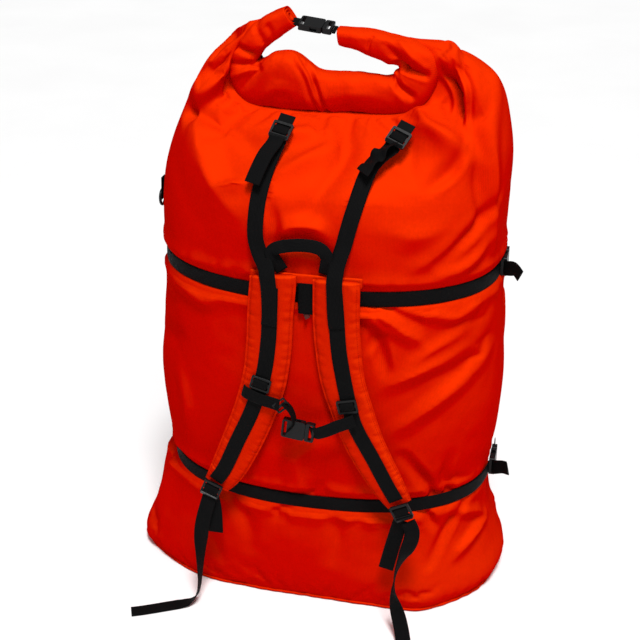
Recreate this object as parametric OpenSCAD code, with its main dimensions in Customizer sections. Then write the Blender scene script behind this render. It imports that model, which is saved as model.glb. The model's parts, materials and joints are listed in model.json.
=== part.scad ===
// Roll-top dry bag with a backpack harness, in millimetres.
// Z is up, the harness faces -Y, and the origin is the middle of the base on the ground.

/* [Bag] */
// Half width of the body at its fullest
body_a = 300; // [280:1:320]
// Half depth of the body at its fullest
body_b = 208; // [195:1:208]
// Height at which the body ends and the collar starts
body_top = 815; // [805:1:815]
// Thickness of the fabric skin
skin = 2.4; // [1.5:0.1:3]

/* [Webbing] */
// Width of all webbing
web_w = 25; // [20:1:25]
// Thickness of the webbing
web_t = 2; // [1.2:0.1:2]
// Height of the lower compression belt's middle
low_belt_z = 208; // [200:1:215]
// Height of the upper compression belt's middle
up_belt_z = 590; // [585:1:592]

/* [Shoulder pads] */
// Width of the shoulder pads
pad_w = 73; // [60:1:75]
// Thickness of the shoulder pads
pad_t = 15; // [10:1:16]
// Height of the pads' top edge, where they swing from the yoke
pad_top = 613; // [611:1:614]

/* [Mouth] */
// Height of the lower edge of the rolled mouth
roll_low = 836; // [836:0.5:840]
// Height of the upper edge of the rolled mouth
roll_high = 904; // [900:1:904]

/* [Hidden] */

fabric_red = [0.86, 0.11, 0.02];
pad_red = [0.9, 0.16, 0.03];
black = [0.05, 0.05, 0.05];

gap = 0.4;              // clearance between neighbouring pieces
ring_sides = 48;        // points around each section of the body
base_t = 4;             // thickness of the base panel
pad_y = -221.5;         // middle plane of the shoulder pads
buckle_w = 33;          // width of a side-release buckle
buckle_t = 10;          // thickness of a side-release buckle
socket_l = 38;          // length of a buckle's socket
plug_l = 15;            // length of the part of a plug that shows
frame_w = 33;           // width of a ladder-lock or slider
ladder_l = 28;          // length of a ladder-lock
slider_l = 24;          // length of a slider
belt_off = 0.5;         // distance of a belt from the fullest section beneath it
low_a = body_a - 17;    // half width of the body under the lower belt
low_b = body_b - 8;
up_a = body_a - 20;     // half width of the body under the upper belt
up_b = body_b - 6;

// Sections of the body from the base up: height, half width, half depth, middle in Y, roundness.
SECTIONS = [
    [base_t + gap, body_a + 22, body_b - 24, 0, 2.25],
    [30, body_a + 34, body_b - 17, 0, 2.15],
    [70, body_a + 18, body_b - 12, 0, 2.2],
    [130, body_a - 4, body_b - 8, 0, 2.3],
    [190, low_a, low_b, 0, 2.4],
    [226, low_a, low_b, 0, 2.4],
    [290, body_a - 6, body_b - 2, 0, 2.4],
    [380, body_a, body_b, 0, 2.4],
    [480, body_a - 10, body_b - 1, 0, 2.4],
    [572, up_a, up_b, 0, 2.4],
    [608, up_a, up_b, 0, 2.4],
    [680, body_a - 20, body_b - 9, 0, 2.4],
    [740, body_a - 23, body_b - 28, 0, 2.4],
    [785, body_a - 28, body_b - 57, 2, 2.4],
    [body_top, body_a - 34, body_b - 82, 4, 2.4]
];

// Top edge of the collar in X and Z: it climbs to both shoulders and dips behind the roll.
COLLAR_TOP = [
    [-262, 834], [-245, 862], [-218, 893], [-190, 916], [-150, 944], [-122, 930], [-98, 904], [0, 903],
    [84, 904], [112, 928], [150, 946], [206, 932], [244, 908], [262, 850]
];

// The roll as stations from its left end, round both bends, to its right end:
// [inner edge X, inner edge Z, outer edge X, outer edge Z, middle in Y, half thickness in Y].
ROLL = [
    [-57, 964, -76, 992, -21, 20], [-84, 945, -108, 977, -23, 23], [-107, 926, -140, 951, -26, 26],
    [-116, 913, -163, 915, -26, 26], [-118, 908, -160, 868, -27, 27],
    [-111, roll_high + 1, -132, roll_low + 2, -31, 26], [-90, roll_high, -94, roll_low, -32, 26],
    [0, roll_high, 0, roll_low, -32, 26], [92, roll_high, 92, roll_low, -32, 26],
    [100, roll_high, 138, roll_low + 7, -31, 26], [106, 907, 166, 884, -27, 27],
    [106, 911, 164, 928, -26, 26], [100, 914, 134, 950, -26, 26], [88, 916, 100, 957, -25, 25],
    [64, 924, 76, 962, -24, 24], [40, 932, 46, 965, -23, 23], [13, 938, 9, 965, -21, 21]
];

// Middles of the shoulder pads in X and Z, from the yoke down to the ladder-locks.
LEFT_PAD = [[-50, pad_top], [-55, 560], [-58, 506], [-66, 446], [-82, 389], [-106, 326], [-132, 268], [-154, 232]];
RIGHT_PAD = [[50, pad_top], [50, 560], [53, 516], [60, 461], [74, 412], [98, 345], [132, 280], [158, 238]];
PAD_WIDTHS = [1, 1, 1, 0.98, 0.95, 0.9, 0.8, 0.6];

// Middles of the webbing sewn along the pads.
LEFT_WEB = [[-52, 610], [-54, 556], [-57, 513], [-66, 454], [-86, 389], [-113, 326], [-136, 272], [-152, 246]];
RIGHT_WEB = [[49, 610], [52, 570], [56, 515], [63, 470], [72, 425], [84, 380], [114, 323], [137, 278], [153, 250]];

// Lifter straps from the buckles down to the yoke.
LEFT_LIFTER = [[-60, -139, 812], [-70, -167, 782], [-78, -194, 739], [-80, -208.5, 691], [-74, -213, 665],
    [-60, -216, 638], [-56, -219, 627]];
RIGHT_LIFTER = [[112, -139, 812], [88, -166, 790], [70, -199, 730], [58, -209.5, 680], [51, -214, 650],
    [49, -219, 627]];

// Free adjuster tails: middle of the webbing, then the direction of its width.
LEFT_LONG_TAIL = [
    [[-163, -233, 214], [1, 0, 0]], [[-168, -236, 196], [1, 0, 0]], [[-173, -238, 176], [1, 0.1, 0]],
    [[-177, -240, 155], [1, 0.3, 0]], [[-179, -241, 134], [1, 0.7, 0]], [[-180, -242, 112], [0.6, 1, 0]],
    [[-181, -243, 90], [0.3, 1, 0]], [[-182, -244, 68], [0.1, 1, 0]], [[-183, -246, 48], [0, 1, 0]],
    [[-185, -248, 30], [0, 1, 0]], [[-190, -250, 14], [0.1, 1, 0]], [[-199, -254, 5], [0.2, 1, 0]],
    [[-211, -260, 2], [0.3, 1, 0]], [[-226, -268, 1.6], [0.45, 1, 0]], [[-243, -277, 1.6], [0.5, 1, 0]],
    [[-260, -286, 1.6], [0.5, 1, 0]], [[-276, -294, 1.6], [0.45, 1, 0]], [[-292, -301, 1.6], [0.4, 1, 0]]
];
RIGHT_LONG_TAIL = [
    [[174, -233, 214], [1, 0, 0]], [[182, -238, 200], [1, 0, 0]], [[181, -243, 184], [1, 0.2, 0]],
    [[175, -246, 166], [1, 0.5, 0]], [[168, -248, 148], [0.7, 1, 0]], [[162, -249, 130], [0.3, 1, 0]],
    [[158, -250, 111], [0, 1, 0]], [[157, -251, 92], [-0.3, 1, 0]], [[159, -253, 73], [-0.7, 0.7, 0]],
    [[163, -256, 54], [-1, 0.3, 0]], [[169, -261, 36], [-1, 0, 0]], [[175, -269, 19], [-1, 0, 0]],
    [[180, -281, 7], [-1, 0.1, 0]], [[184, -297, 2], [-1, 0.2, 0]], [[187, -316, 1.6], [-1, 0.2, 0]],
    [[190, -336, 1.6], [-1, 0.1, 0]], [[192, -356, 1.6], [-1, 0.1, 0]], [[193, -376, 1.6], [-1, 0, 0]]
];

function unit(v) = v / norm(v);
function at(list, i) = list[max(0, min(len(list) - 1, i))];

// Point on the smooth curve through four points, at share t between the middle two.
function curve_point(a, b, c, d, t) =
    0.5 * (2 * b + (c - a) * t + (2 * a - 5 * b + 4 * c - d) * t * t + (3 * b - a - 3 * c + d) * t * t * t);

// A smooth curve through the points, with a number of steps between each two.
function smooth(points, steps) = concat(
    [for (i = [0 : len(points) - 2]) for (k = [0 : steps - 1])
        curve_point(at(points, i - 1), points[i], points[i + 1], at(points, i + 2), k / steps)],
    [points[len(points) - 1]]
);

// Section of the body: a superellipse from [height, half width, half depth, middle in Y, roundness].
function section(s, inset = 0) = [
    for (i = [0 : ring_sides - 1]) let (t = 360 * (i + 0.5) / ring_sides, c = cos(t), k = sin(t))
        [(s[1] - inset) * sign(c) * pow(abs(c), 2 / s[4]),
         s[3] + (s[2] - inset) * sign(k) * pow(abs(k), 2 / s[4]), s[0]]
];

// Triangles joining ring i to ring j of n points.
function skirt(i, j, n) = [
    for (k = [0 : n - 1]) let (m = (k + 1) % n)
        each [[i * n + k, j * n + m, i * n + m], [i * n + k, j * n + k, j * n + m]]
];

// Closed solid through rings of equal count, each counterclockwise as seen from its far end.
module loft(rings) {
    n = len(rings[0]);
    last = len(rings) - 1;
    polyhedron(
        points = [for (r = rings) each r],
        faces = concat(
            [[for (k = [0 : n - 1]) k]],
            [for (i = [0 : last - 1]) each skirt(i, i + 1, n)],
            [[for (k = [n - 1 : -1 : 0]) last * n + k]]
        ),
        convexity = 6
    );
}

// Open tube between outer rings and inner rings, going up outside and down inside.
module ring_solid(outer, inner) {
    rings = concat(outer, [for (i = [len(inner) - 1 : -1 : 0]) inner[i]]);
    n = len(rings[0]);
    polyhedron(
        points = [for (r = rings) each r],
        faces = [for (i = [0 : len(rings) - 1]) each skirt(i, (i + 1) % len(rings), n)],
        convexity = 6
    );
}

// Outline of a band's section: width along w, thickness along n, with chamfered corners.
function band_ring(p, w, n, width, thick) = let (c = min(thick, width) / 3) [
    for (q = [[1, 1 - c / thick * 2], [1 - c / width * 2, 1], [c / width * 2 - 1, 1], [-1, 1 - c / thick * 2],
              [-1, c / thick * 2 - 1], [c / width * 2 - 1, -1], [1 - c / width * 2, -1], [1, c / thick * 2 - 1]])
        p + w * (q[0] * width / 2) + n * (q[1] * thick / 2)
];

function direction(path, i) = unit(at(path, i + 1) - at(path, i - 1));

// Flat band along a path whose outer face looks towards out.
module band(path, width, thick, out = [0, -1, 0], shares = undef) {
    loft([
        for (i = [0 : len(path) - 1])
            let (t = direction(path, i), w = unit(cross(out, t)), n = unit(cross(t, w)),
                 share = is_undef(shares) ? 1 : shares[i])
            band_ring(path[i], w, n, width * share, thick)
    ]);
}

// Flat band along a route of [point, direction of width].
module twisted_band(route, width, thick) {
    path = [for (r = route) r[0]];
    loft([
        for (i = [0 : len(path) - 1])
            let (t = direction(path, i), n = unit(cross(t, route[i][1])), w = cross(n, t))
            band_ring(path[i], w, n, width, thick)
    ]);
}

// Places children so that their Y runs along a direction and their Z points out.
module place(point, along, out) {
    y = unit(along);
    x = unit(cross(y, out));
    z = cross(x, y);
    multmatrix([[x[0], y[0], z[0], point[0]], [x[1], y[1], z[1], point[1]], [x[2], y[2], z[2], point[2]]])
        children();
}

// Plate of length l along Y with round corners, standing on z = 0.
module plate(w, l, t, r) {
    linear_extrude(t) {
        square([w, l - 2 * r], center = true);
        square([w - 2 * r, l], center = true);
        for (x = [-1, 1]) for (y = [-1, 1]) translate([x * (w / 2 - r), y * (l / 2 - r)]) circle(r, $fn = 24);
    }
}

// Side-release socket: its mouth faces +Y at y = 0 and its webbing slot is at the far end.
module socket() {
    cavity_w = buckle_w - 6;
    difference() {
        translate([0, -socket_l / 2, 0]) plate(buckle_w, socket_l, buckle_t, 4);
        translate([-cavity_w / 2, -25, 2.2]) cube([cavity_w, 26, buckle_t - 4.4]);
        translate([-buckle_w / 2 - 1, -19, 2.2]) cube([buckle_w + 2, 11, buckle_t - 4.4]);
        translate([-web_w / 2 - 1, -35, -1]) cube([web_w + 2, 5, buckle_t + 2]);
    }
}

// Side-release plug: its shoulder meets the socket's mouth at y = 0, its prongs reach into the socket.
module plug() {
    prong_t = buckle_t - 5.4;
    difference() {
        translate([0, gap + plug_l / 2, 0.5]) plate(buckle_w, plug_l, buckle_t - 1, 3);
        translate([-web_w / 2 - 1, gap + 6, -1]) cube([web_w + 2, 5, buckle_t + 2]);
    }
    for (side = [-1, 1]) {
        translate([side * 10.6 - 2.4, -23, 2.7]) cube([4.8, 24, prong_t]);
    }
    translate([-1.5, -16, 2.7]) cube([3, 17, prong_t]);
}

// Ladder-lock: three bars in a frame with a raised thumb lip at the lower end.
module ladder_lock() {
    difference() {
        plate(frame_w, ladder_l, 4, 3);
        for (y = [-ladder_l / 2 + 7, ladder_l / 2 - 9]) {
            translate([-web_w / 2 - 0.8, y, -1]) cube([web_w + 1.6, 5, 6]);
        }
    }
    translate([-frame_w / 2 + 2, -ladder_l / 2, 2]) rotate([35, 0, 0]) cube([frame_w - 4, 6, 2.4]);
}

// Three-bar slider for webbing.
module slider() {
    difference() {
        plate(frame_w, slider_l, 3, 3);
        for (y = [-slider_l / 2 + 4, slider_l / 2 - 9]) {
            translate([-web_w / 2 - 0.8, y, -1]) cube([web_w + 1.6, 5, 5]);
        }
    }
}

// ---- bag ----

body_path = smooth(SECTIONS, 2);

module body_tube() {
    color(fabric_red)
        ring_solid([for (s = body_path) section(s)], [for (s = body_path) section(s, skin)]);
}

module base_panel() {
    s = SECTIONS[0];
    color(fabric_red)
        loft([section([0, s[1] - 3, s[2] - 3, 0, s[4]]), section([base_t, s[1] - 1, s[2] - 1, 0, s[4]])]);
}

module base_welt() {
    s = SECTIONS[0];
    color(fabric_red)
        ring_solid(
            [for (q = [[1, 0.5], [4, 3], [7, 7], [9, 12]]) section([q[0], s[1] + q[1], s[2] + q[1] * 0.8, 0, s[4]])],
            [for (q = [[1, -0.6], [4, 0.4], [7, 3.6], [9, 7.2]])
                section([q[0], s[1] + q[1], s[2] + q[1] * 0.8, 0, s[4]])]
        );
}

module packed_contents() {
    color("dimgray") loft([for (s = body_path) section(s, skin + 1.2)]);
}

// Half depth of the body's top at a distance x from the middle.
function top_depth(x) = let (s = SECTIONS[len(SECTIONS) - 1]) s[2] * pow(1 - pow(abs(x) / s[1], s[4]), 1 / s[4]);

// Section of the collar at x: down the sloping front, up behind the roll and down the back.
function collar_section(x, top) = let (b = top_depth(x), foot = body_top + gap) [
    for (q = [[-b, foot], [b, foot], [b * 0.93, foot + 14], [18 + b * 0.5, (foot + 2 * top) / 3], [26, top - 6],
              [20, top], [9, top], [3, top - 6], [2, foot + 19], [-b * 0.5, foot + 17], [-b * 0.85, foot + 9]])
        [x, q[0], q[1]]
];

module collar() {
    color(fabric_red) loft([for (p = COLLAR_TOP) collar_section(p[0], p[1])]);
}

// Section of the roll: a squarish oval between its inner and outer edges.
function roll_section(s, sides = 24) =
    let (from = [s[0], s[4], s[1]], to = [s[2], s[4], s[3]], mid = (from + to) / 2, half = (to - from) / 2) [
        for (i = [0 : sides - 1]) let (t = 360 * (i + 0.5) / sides, c = cos(t), k = sin(t))
            mid + half * sign(c) * pow(abs(c), 0.6) + [0, s[5] * sign(k) * pow(abs(k), 0.6), 0]
    ];

// The right end has a pocket that the buckle's webbing and plug pull into.
module rolled_mouth() {
    color(fabric_red) difference() {
        loft([for (s = ROLL) roll_section(s)]);
        at_roll_buckle() translate([-buckle_w / 2 - 1.5, 2, -2]) cube([buckle_w + 3, 38, buckle_t + 4]);
    }
}

module stiffener_strip() {
    color("gainsboro") translate([-84, -34, (roll_low + roll_high) / 2 - 14]) cube([168, 3, 28]);
}

// ---- mouth buckle ----

roll_buckle = [-15, -20, 964];
buckle_axis = [1, 0, -0.12];
roll_out = [0.12, -0.2, 1];

module at_roll_buckle() {
    place(roll_buckle, buckle_axis, roll_out) translate([0, 0, -buckle_t / 2]) children();
}

module roll_buckle_socket() {
    color(black) at_roll_buckle() socket();
}

module roll_buckle_plug() {
    color(black) at_roll_buckle() plug();
}

module left_roll_tab() {
    color(black) at_roll_buckle() translate([-web_w / 2, -socket_l - 16, 4]) cube([web_w, 15.6, web_t]);
}

module right_roll_tab() {
    color(black) at_roll_buckle() translate([-web_w / 2, gap * 2 + plug_l, 2]) cube([web_w, 5, web_t]);
}

// ---- compression belts ----

// The belt's buckle sits on the right side, where the body's side runs along Y.
function belt_face(a) = a + belt_off + 0.6;

module belt(z, a, b, p) {
    color(black) difference() {
        ring_solid(
            [for (h = [-0.5, 0.5]) section([z + h * web_w, a + belt_off + web_t, b + belt_off + web_t, 0, p])],
            [for (h = [-0.5, 0.5]) section([z + h * web_w, a + belt_off, b + belt_off, 0, p])]
        );
        translate([a - 30, -30, z - web_w]) cube([60, 94, 2 * web_w]);
    }
}

module at_belt_buckle(z, a) {
    place([belt_face(a), 10, z], [0, 1, 0], [1, 0, 0]) children();
}

module belt_link(z, a) {
    color(black) at_belt_buckle(z, a) translate([-web_w / 2, gap * 2 + plug_l, 3]) cube([web_w, 12, web_t]);
}

module belt_tail(z, a, drop) {
    color(black) band(
        smooth([[a + 10, -31, z + 4], [a + 17, -40, z + 10], [a + 26, -50, z + 12], [a + 35, -58, z + 2],
            [a + 39, -62, z - drop]], 3),
        web_w, web_t, [0.6, 0.2, 1]);
}

module upper_belt() { belt(up_belt_z, up_a, up_b, 2.4); }
module upper_belt_socket() { color(black) at_belt_buckle(up_belt_z, up_a) socket(); }
module upper_belt_plug() { color(black) at_belt_buckle(up_belt_z, up_a) plug(); }
module upper_belt_link() { belt_link(up_belt_z, up_a); }
module upper_belt_tail() { belt_tail(up_belt_z, up_a, 14); }

module lower_belt() { belt(low_belt_z, low_a, low_b, 2.4); }
module lower_belt_socket() { color(black) at_belt_buckle(low_belt_z, low_a) socket(); }
module lower_belt_plug() { color(black) at_belt_buckle(low_belt_z, low_a) plug(); }
module lower_belt_link() { belt_link(low_belt_z, low_a); }
module lower_belt_tail() { belt_tail(low_belt_z, low_a, 10); }

// ---- ring on the left side ----

side_x = -body_a + 20;

module side_tab() {
    color(black) band([[side_x - 2.4, -36, 704], [side_x - 3, -36, 690], [side_x - 3, -36, 676]], web_w, web_t,
        [-1, 0, 0]);
}

module side_ring() {
    color(black) translate([side_x - 8, -36, 668]) rotate([0, 90, 0])
        rotate_extrude($fn = 48) translate([13, 0]) circle(2.4, $fn = 20);
}

// ---- harness on the bag ----

module yoke_panel() {
    color(pad_red) band([[-88, -209, 626], [0, -211.5, 628], [88, -209, 626]], 14, 4, [0, -1, 0]);
}

module centre_patch() {
    color(black) band([[0, -214, 614], [0, -214, 566]], web_w, web_t);
}

module haul_handle() {
    route = smooth([[-29, -215, 640], [-44, -216, 668], [-40, -215, 687], [-18, -212, 699], [8, -212, 701],
        [26, -213, 692], [30, -215, 675], [23, -215, 640]], 4);
    color(black) band(route, 22, 2.6, [0, -0.75, -0.65]);
}

lifter_out = [0, -0.72, 0.7];
left_lifter_at = [-57, -129, 827];
left_lifter_along = [0.25, 0.72, 0.72];
right_lifter_at = [124, -128, 828];
right_lifter_along = [0.45, 0.7, 0.7];

module lifter_anchor(at_point, along) {
    color(black) place(at_point, along, lifter_out)
        translate([-web_w / 2, ladder_l / 2 + gap, 0]) cube([web_w, 14, web_t]);
}

module left_lifter_anchor() { lifter_anchor(left_lifter_at, left_lifter_along); }
module right_lifter_anchor() { lifter_anchor(right_lifter_at, right_lifter_along); }

module left_lifter_buckle() {
    color(black) place(left_lifter_at, left_lifter_along, lifter_out) ladder_lock();
}

module right_lifter_buckle() {
    color(black) place(right_lifter_at, right_lifter_along, lifter_out) ladder_lock();
}

module left_lifter_strap() { color(black) band(smooth(LEFT_LIFTER, 3), web_w, web_t); }
module right_lifter_strap() { color(black) band(smooth(RIGHT_LIFTER, 3), web_w, web_t); }

module left_lifter_tail() {
    color(black) band(
        smooth([[-63, -149, 820], [-72, -169, 802], [-80, -185, 783], [-86, -198, 765]], 3), web_w, web_t);
}

module right_lifter_tail() {
    color(black) band(
        smooth([[112, -149, 824], [104, -160, 818], [96, -166, 806], [88, -177, 800], [80, -184, 790]], 3),
        web_w, web_t);
}

// ---- shoulder straps ----

function in_plane(list, y) = [for (p = list) [p[0], y, p[1]]];

module pad(line) {
    color(pad_red) band(in_plane(line, pad_y), pad_w, pad_t, [0, -1, 0], PAD_WIDTHS);
}

module pad_foam(line) {
    inner = in_plane(line, pad_y);
    color("gainsboro") band([for (i = [0 : len(inner) - 2]) inner[i] - [0, 0, 4]], pad_w - 14, pad_t - 5,
        [0, -1, 0], PAD_WIDTHS);
}

module pad_webbing(line) {
    color(black) band(in_plane(line, pad_y - pad_t / 2 - gap - web_t / 2), web_w, web_t);
}

module left_pad() { pad(LEFT_PAD); }
module left_pad_foam() { pad_foam(LEFT_PAD); }
module left_pad_webbing() { pad_webbing(LEFT_WEB); }
module right_pad() { pad(RIGHT_PAD); }
module right_pad_foam() { pad_foam(RIGHT_PAD); }
module right_pad_webbing() { pad_webbing(RIGHT_WEB); }

left_lock_at = [-159, -232.5, 230];
left_lock_along = [0.42, 0, 1];
right_lock_at = [163, -232.5, 232];
right_lock_along = [-0.5, 0, 1];

module left_ladder_lock() {
    color(black) place(left_lock_at, left_lock_along, [0, -1, 0]) ladder_lock();
}

module right_ladder_lock() {
    color(black) place(right_lock_at, right_lock_along, [0, -1, 0]) ladder_lock();
}

module left_short_tail() {
    color(black) band([[-160, -229, 212], [-157, -228.5, 190], [-156, -228.5, 165], [-156, -229, 140]],
        web_w, web_t);
}

module right_short_tail() {
    color(black) band([[162, -229, 213], [155, -228.5, 185], [147, -228.5, 150], [139, -229, 112]],
        web_w, web_t);
}

module left_long_tail() { color(black) twisted_band(LEFT_LONG_TAIL, web_w, web_t); }
module right_long_tail() { color(black) twisted_band(RIGHT_LONG_TAIL, web_w, web_t); }

// ---- sternum strap ----

slider_y = pad_y - pad_t / 2 - 2 * gap - web_t - 0.2;
left_slider_at = [-70, slider_y, 441];
right_slider_at = [71, slider_y, 417];

module left_slider() {
    color(black) place(left_slider_at, [0.28, 0, 1], [0, -1, 0]) slider();
}

module right_slider() {
    color(black) place(right_slider_at, [-0.24, 0, 1], [0, -1, 0]) slider();
}

module left_sternum_webbing() {
    color(black) band([[-72, slider_y - 5, 444], [-60, slider_y - 5, 438], [-47, slider_y - 5.5, 428]],
        20, web_t);
}

module sternum_adjuster() {
    color(black) place([-33, slider_y - 4, 413], [-1, 0, 0.9], [0, -1, 0]) plate(27, 20, 4, 2.5);
}

sternum_at = [4, slider_y - 2, 367];
sternum_along = [1, 0, -0.12];

module sternum_socket() {
    color(black) place(sternum_at, sternum_along, [0, -1, 0]) socket();
}

module sternum_plug() {
    color(black) place(sternum_at, sternum_along, [0, -1, 0]) plug();
}

module right_sternum_webbing() {
    y = slider_y - buckle_t - 4;
    color(black) band([[30, y, 374], [42, y, 386], [56, y, 401], [68, y, 414]], 20, web_t);
}

body_tube();
base_panel();
base_welt();
packed_contents();
collar();
rolled_mouth();
stiffener_strip();
left_roll_tab();
roll_buckle_socket();
roll_buckle_plug();
right_roll_tab();
upper_belt();
upper_belt_socket();
upper_belt_plug();
upper_belt_link();
upper_belt_tail();
lower_belt();
lower_belt_socket();
lower_belt_plug();
lower_belt_link();
lower_belt_tail();
side_tab();
side_ring();
yoke_panel();
centre_patch();
haul_handle();
left_lifter_anchor();
left_lifter_buckle();
left_lifter_strap();
left_lifter_tail();
right_lifter_anchor();
right_lifter_buckle();
right_lifter_strap();
right_lifter_tail();
left_pad();
left_pad_foam();
left_pad_webbing();
left_ladder_lock();
left_short_tail();
left_long_tail();
right_pad();
right_pad_foam();
right_pad_webbing();
right_ladder_lock();
right_short_tail();
right_long_tail();
left_slider();
right_slider();
left_sternum_webbing();
right_sternum_webbing();
sternum_adjuster();
sternum_socket();
sternum_plug();
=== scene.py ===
"""Looks of the roll-top dry bag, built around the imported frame, in metres.

+X is the bag's right as it is seen from the harness side, -Y is the harness side and Z is up.
"""

import json
import math

import bmesh
import bpy
import numpy as np
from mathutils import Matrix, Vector


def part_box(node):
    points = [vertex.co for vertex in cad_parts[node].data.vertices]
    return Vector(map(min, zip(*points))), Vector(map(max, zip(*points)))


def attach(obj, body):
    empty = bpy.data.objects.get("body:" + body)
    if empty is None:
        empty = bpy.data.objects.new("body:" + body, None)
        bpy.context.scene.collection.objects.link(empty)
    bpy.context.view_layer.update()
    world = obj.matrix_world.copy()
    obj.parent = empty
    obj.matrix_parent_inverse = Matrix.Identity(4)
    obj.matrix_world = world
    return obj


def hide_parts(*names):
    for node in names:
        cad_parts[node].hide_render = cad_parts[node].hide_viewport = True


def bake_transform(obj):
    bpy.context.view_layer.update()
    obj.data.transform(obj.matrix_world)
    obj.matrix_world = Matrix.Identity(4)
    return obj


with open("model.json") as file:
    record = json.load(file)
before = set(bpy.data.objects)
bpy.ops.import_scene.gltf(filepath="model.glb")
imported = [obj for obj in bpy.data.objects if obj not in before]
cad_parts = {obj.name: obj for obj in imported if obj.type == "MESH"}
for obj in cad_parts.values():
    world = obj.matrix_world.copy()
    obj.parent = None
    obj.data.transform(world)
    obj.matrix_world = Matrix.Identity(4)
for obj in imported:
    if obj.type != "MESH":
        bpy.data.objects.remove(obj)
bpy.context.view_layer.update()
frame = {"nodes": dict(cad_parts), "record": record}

TAU = 2 * math.pi
MM = 0.001

# ---------------------------------------------------------------- camera, light and floor

EYE = (0.416, -1.956, 1.43)
HEADING = 102.72  # degrees from +X towards +Y
PITCH = -26.1
heading, pitch = math.radians(HEADING), math.radians(PITCH)
aim = Vector((math.cos(heading) * math.cos(pitch), math.sin(heading) * math.cos(pitch), math.sin(pitch)))
lens = bpy.data.cameras.new("camera")
lens.lens = 72.2
lens.sensor_width = 36
camera = bpy.data.objects.new("camera", lens)
camera.location = EYE
camera.rotation_euler = aim.to_track_quat("-Z", "Y").to_euler()
bpy.context.scene.collection.objects.link(camera)
bpy.context.scene.camera = camera
bpy.context.scene.view_settings.view_transform = "Standard"


def light(kind, name, energy, place, target, size):
    """A sun, whose size is its angle in degrees, or a round area light, whose size is its diameter."""
    data = bpy.data.lights.new(name, kind)
    data.energy = energy
    if kind == "SUN":
        data.angle = math.radians(size)
    else:
        data.shape = "DISK"
        data.size = size
    lamp = bpy.data.objects.new(name, data)
    lamp.location = place
    lamp.rotation_euler = (Vector(target) - Vector(place)).to_track_quat("-Z", "Y").to_euler()
    bpy.context.scene.collection.objects.link(lamp)


light("SUN", "key", 2.7, (0.35, -0.95, 2.2), (0, 0, 0.0), 14)
light("AREA", "top_soft", 9, (0.3, -1.0, 2.1), (0.0, -0.1, 0.75), 0.5)
light("AREA", "right_soft", 3, (2.0, -0.6, 1.5), (0.1, 0, 0.6), 0.7)

world = bpy.data.worlds.new("studio")
bpy.context.scene.world = world
world.use_nodes = True
background = world.node_tree.nodes["Background"]
background.inputs["Color"].default_value = (1, 1, 1, 1)
background.inputs["Strength"].default_value = 0.27


# ---------------------------------------------------------------- materials


class Shader:
    """A Principled material and short calls for its nodes."""

    def __init__(self, name, **fixed):
        self.material = bpy.data.materials.new(name)
        self.material.use_nodes = True
        self.tree = self.material.node_tree
        self.surface = self.tree.nodes["Principled BSDF"]
        for socket, value in fixed.items():
            self.surface.inputs[socket.replace("_", " ")].default_value = value

    def node(self, kind, *inputs, **settings):
        n = self.tree.nodes.new(kind)
        for key, value in settings.items():
            setattr(n, key, value)
        for i, value in enumerate(inputs):
            if isinstance(value, bpy.types.NodeSocket):
                self.tree.links.new(value, n.inputs[i])
            elif value is not None:
                n.inputs[i].default_value = value
        return n

    def math(self, operation, *values):
        return self.node("ShaderNodeMath", *values, operation=operation).outputs[0]

    def attribute(self, name="weave"):
        return self.node("ShaderNodeAttribute", attribute_name=name).outputs["Vector"]

    def split(self, vector):
        n = self.node("ShaderNodeSeparateXYZ", vector)
        return n.outputs[0], n.outputs[1], n.outputs[2]

    def place(self):
        return self.node("ShaderNodeTexCoord").outputs["Object"]

    def noise(self, vector, scale, detail=3.0, rough=0.55, distortion=0.0):
        n = self.node("ShaderNodeTexNoise", vector)
        n.inputs["Scale"].default_value = scale
        n.inputs["Detail"].default_value = detail
        n.inputs["Roughness"].default_value = rough
        n.inputs["Distortion"].default_value = distortion
        return n.outputs["Fac"]

    def ramp(self, value, stops):
        n = self.node("ShaderNodeValToRGB", value)
        while len(n.color_ramp.elements) < len(stops):
            n.color_ramp.elements.new(0.5)
        for element, (at, colour) in zip(n.color_ramp.elements, stops):
            element.position = at
            element.color = (*colour, 1)
        return n.outputs["Color"]

    def mix(self, share, one, two, blend="MIX"):
        n = self.node("ShaderNodeMix", data_type="RGBA", blend_type=blend)
        for i, value in ((0, share), (6, one), (7, two)):
            if isinstance(value, bpy.types.NodeSocket):
                self.tree.links.new(value, n.inputs[i])
            else:
                n.inputs[i].default_value = (*value, 1) if isinstance(value, tuple) else value
        return n.outputs[2]

    def remap(self, value, low, high, to_low, to_high):
        return self.node("ShaderNodeMapRange", value, low, high, to_low, to_high).outputs[0]

    def feed(self, socket, value):
        self.tree.links.new(value, self.surface.inputs[socket])

    def bump(self, height, distance, strength=1.0, under=None):
        n = self.node("ShaderNodeBump")
        n.inputs["Strength"].default_value = strength
        n.inputs["Distance"].default_value = distance
        self.tree.links.new(height, n.inputs["Height"])
        if under is not None:
            self.tree.links.new(under, n.inputs["Normal"])
        return n.outputs["Normal"]

    def thread(self, coordinate, pitch):
        """A row of round threads: 0 between them, 1 on their crests."""
        wave = self.math("SINE", self.math("MULTIPLY", coordinate, TAU / pitch))
        return self.math("MULTIPLY_ADD", wave, 0.5, 0.5)


RIB_PITCH = 2.1 * MM  # upright ribs of the coated fabric, and the wales of webbing
PICK_PITCH = 1.3 * MM
DUST_TOP = 0.12  # height up to which the fabric is rubbed dull
LIT_SIDE = (0.25, -0.45, 0.86)  # the way that the fabric faces where its colour is painted lighter and more orange, as painted light from the key lamp


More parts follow.
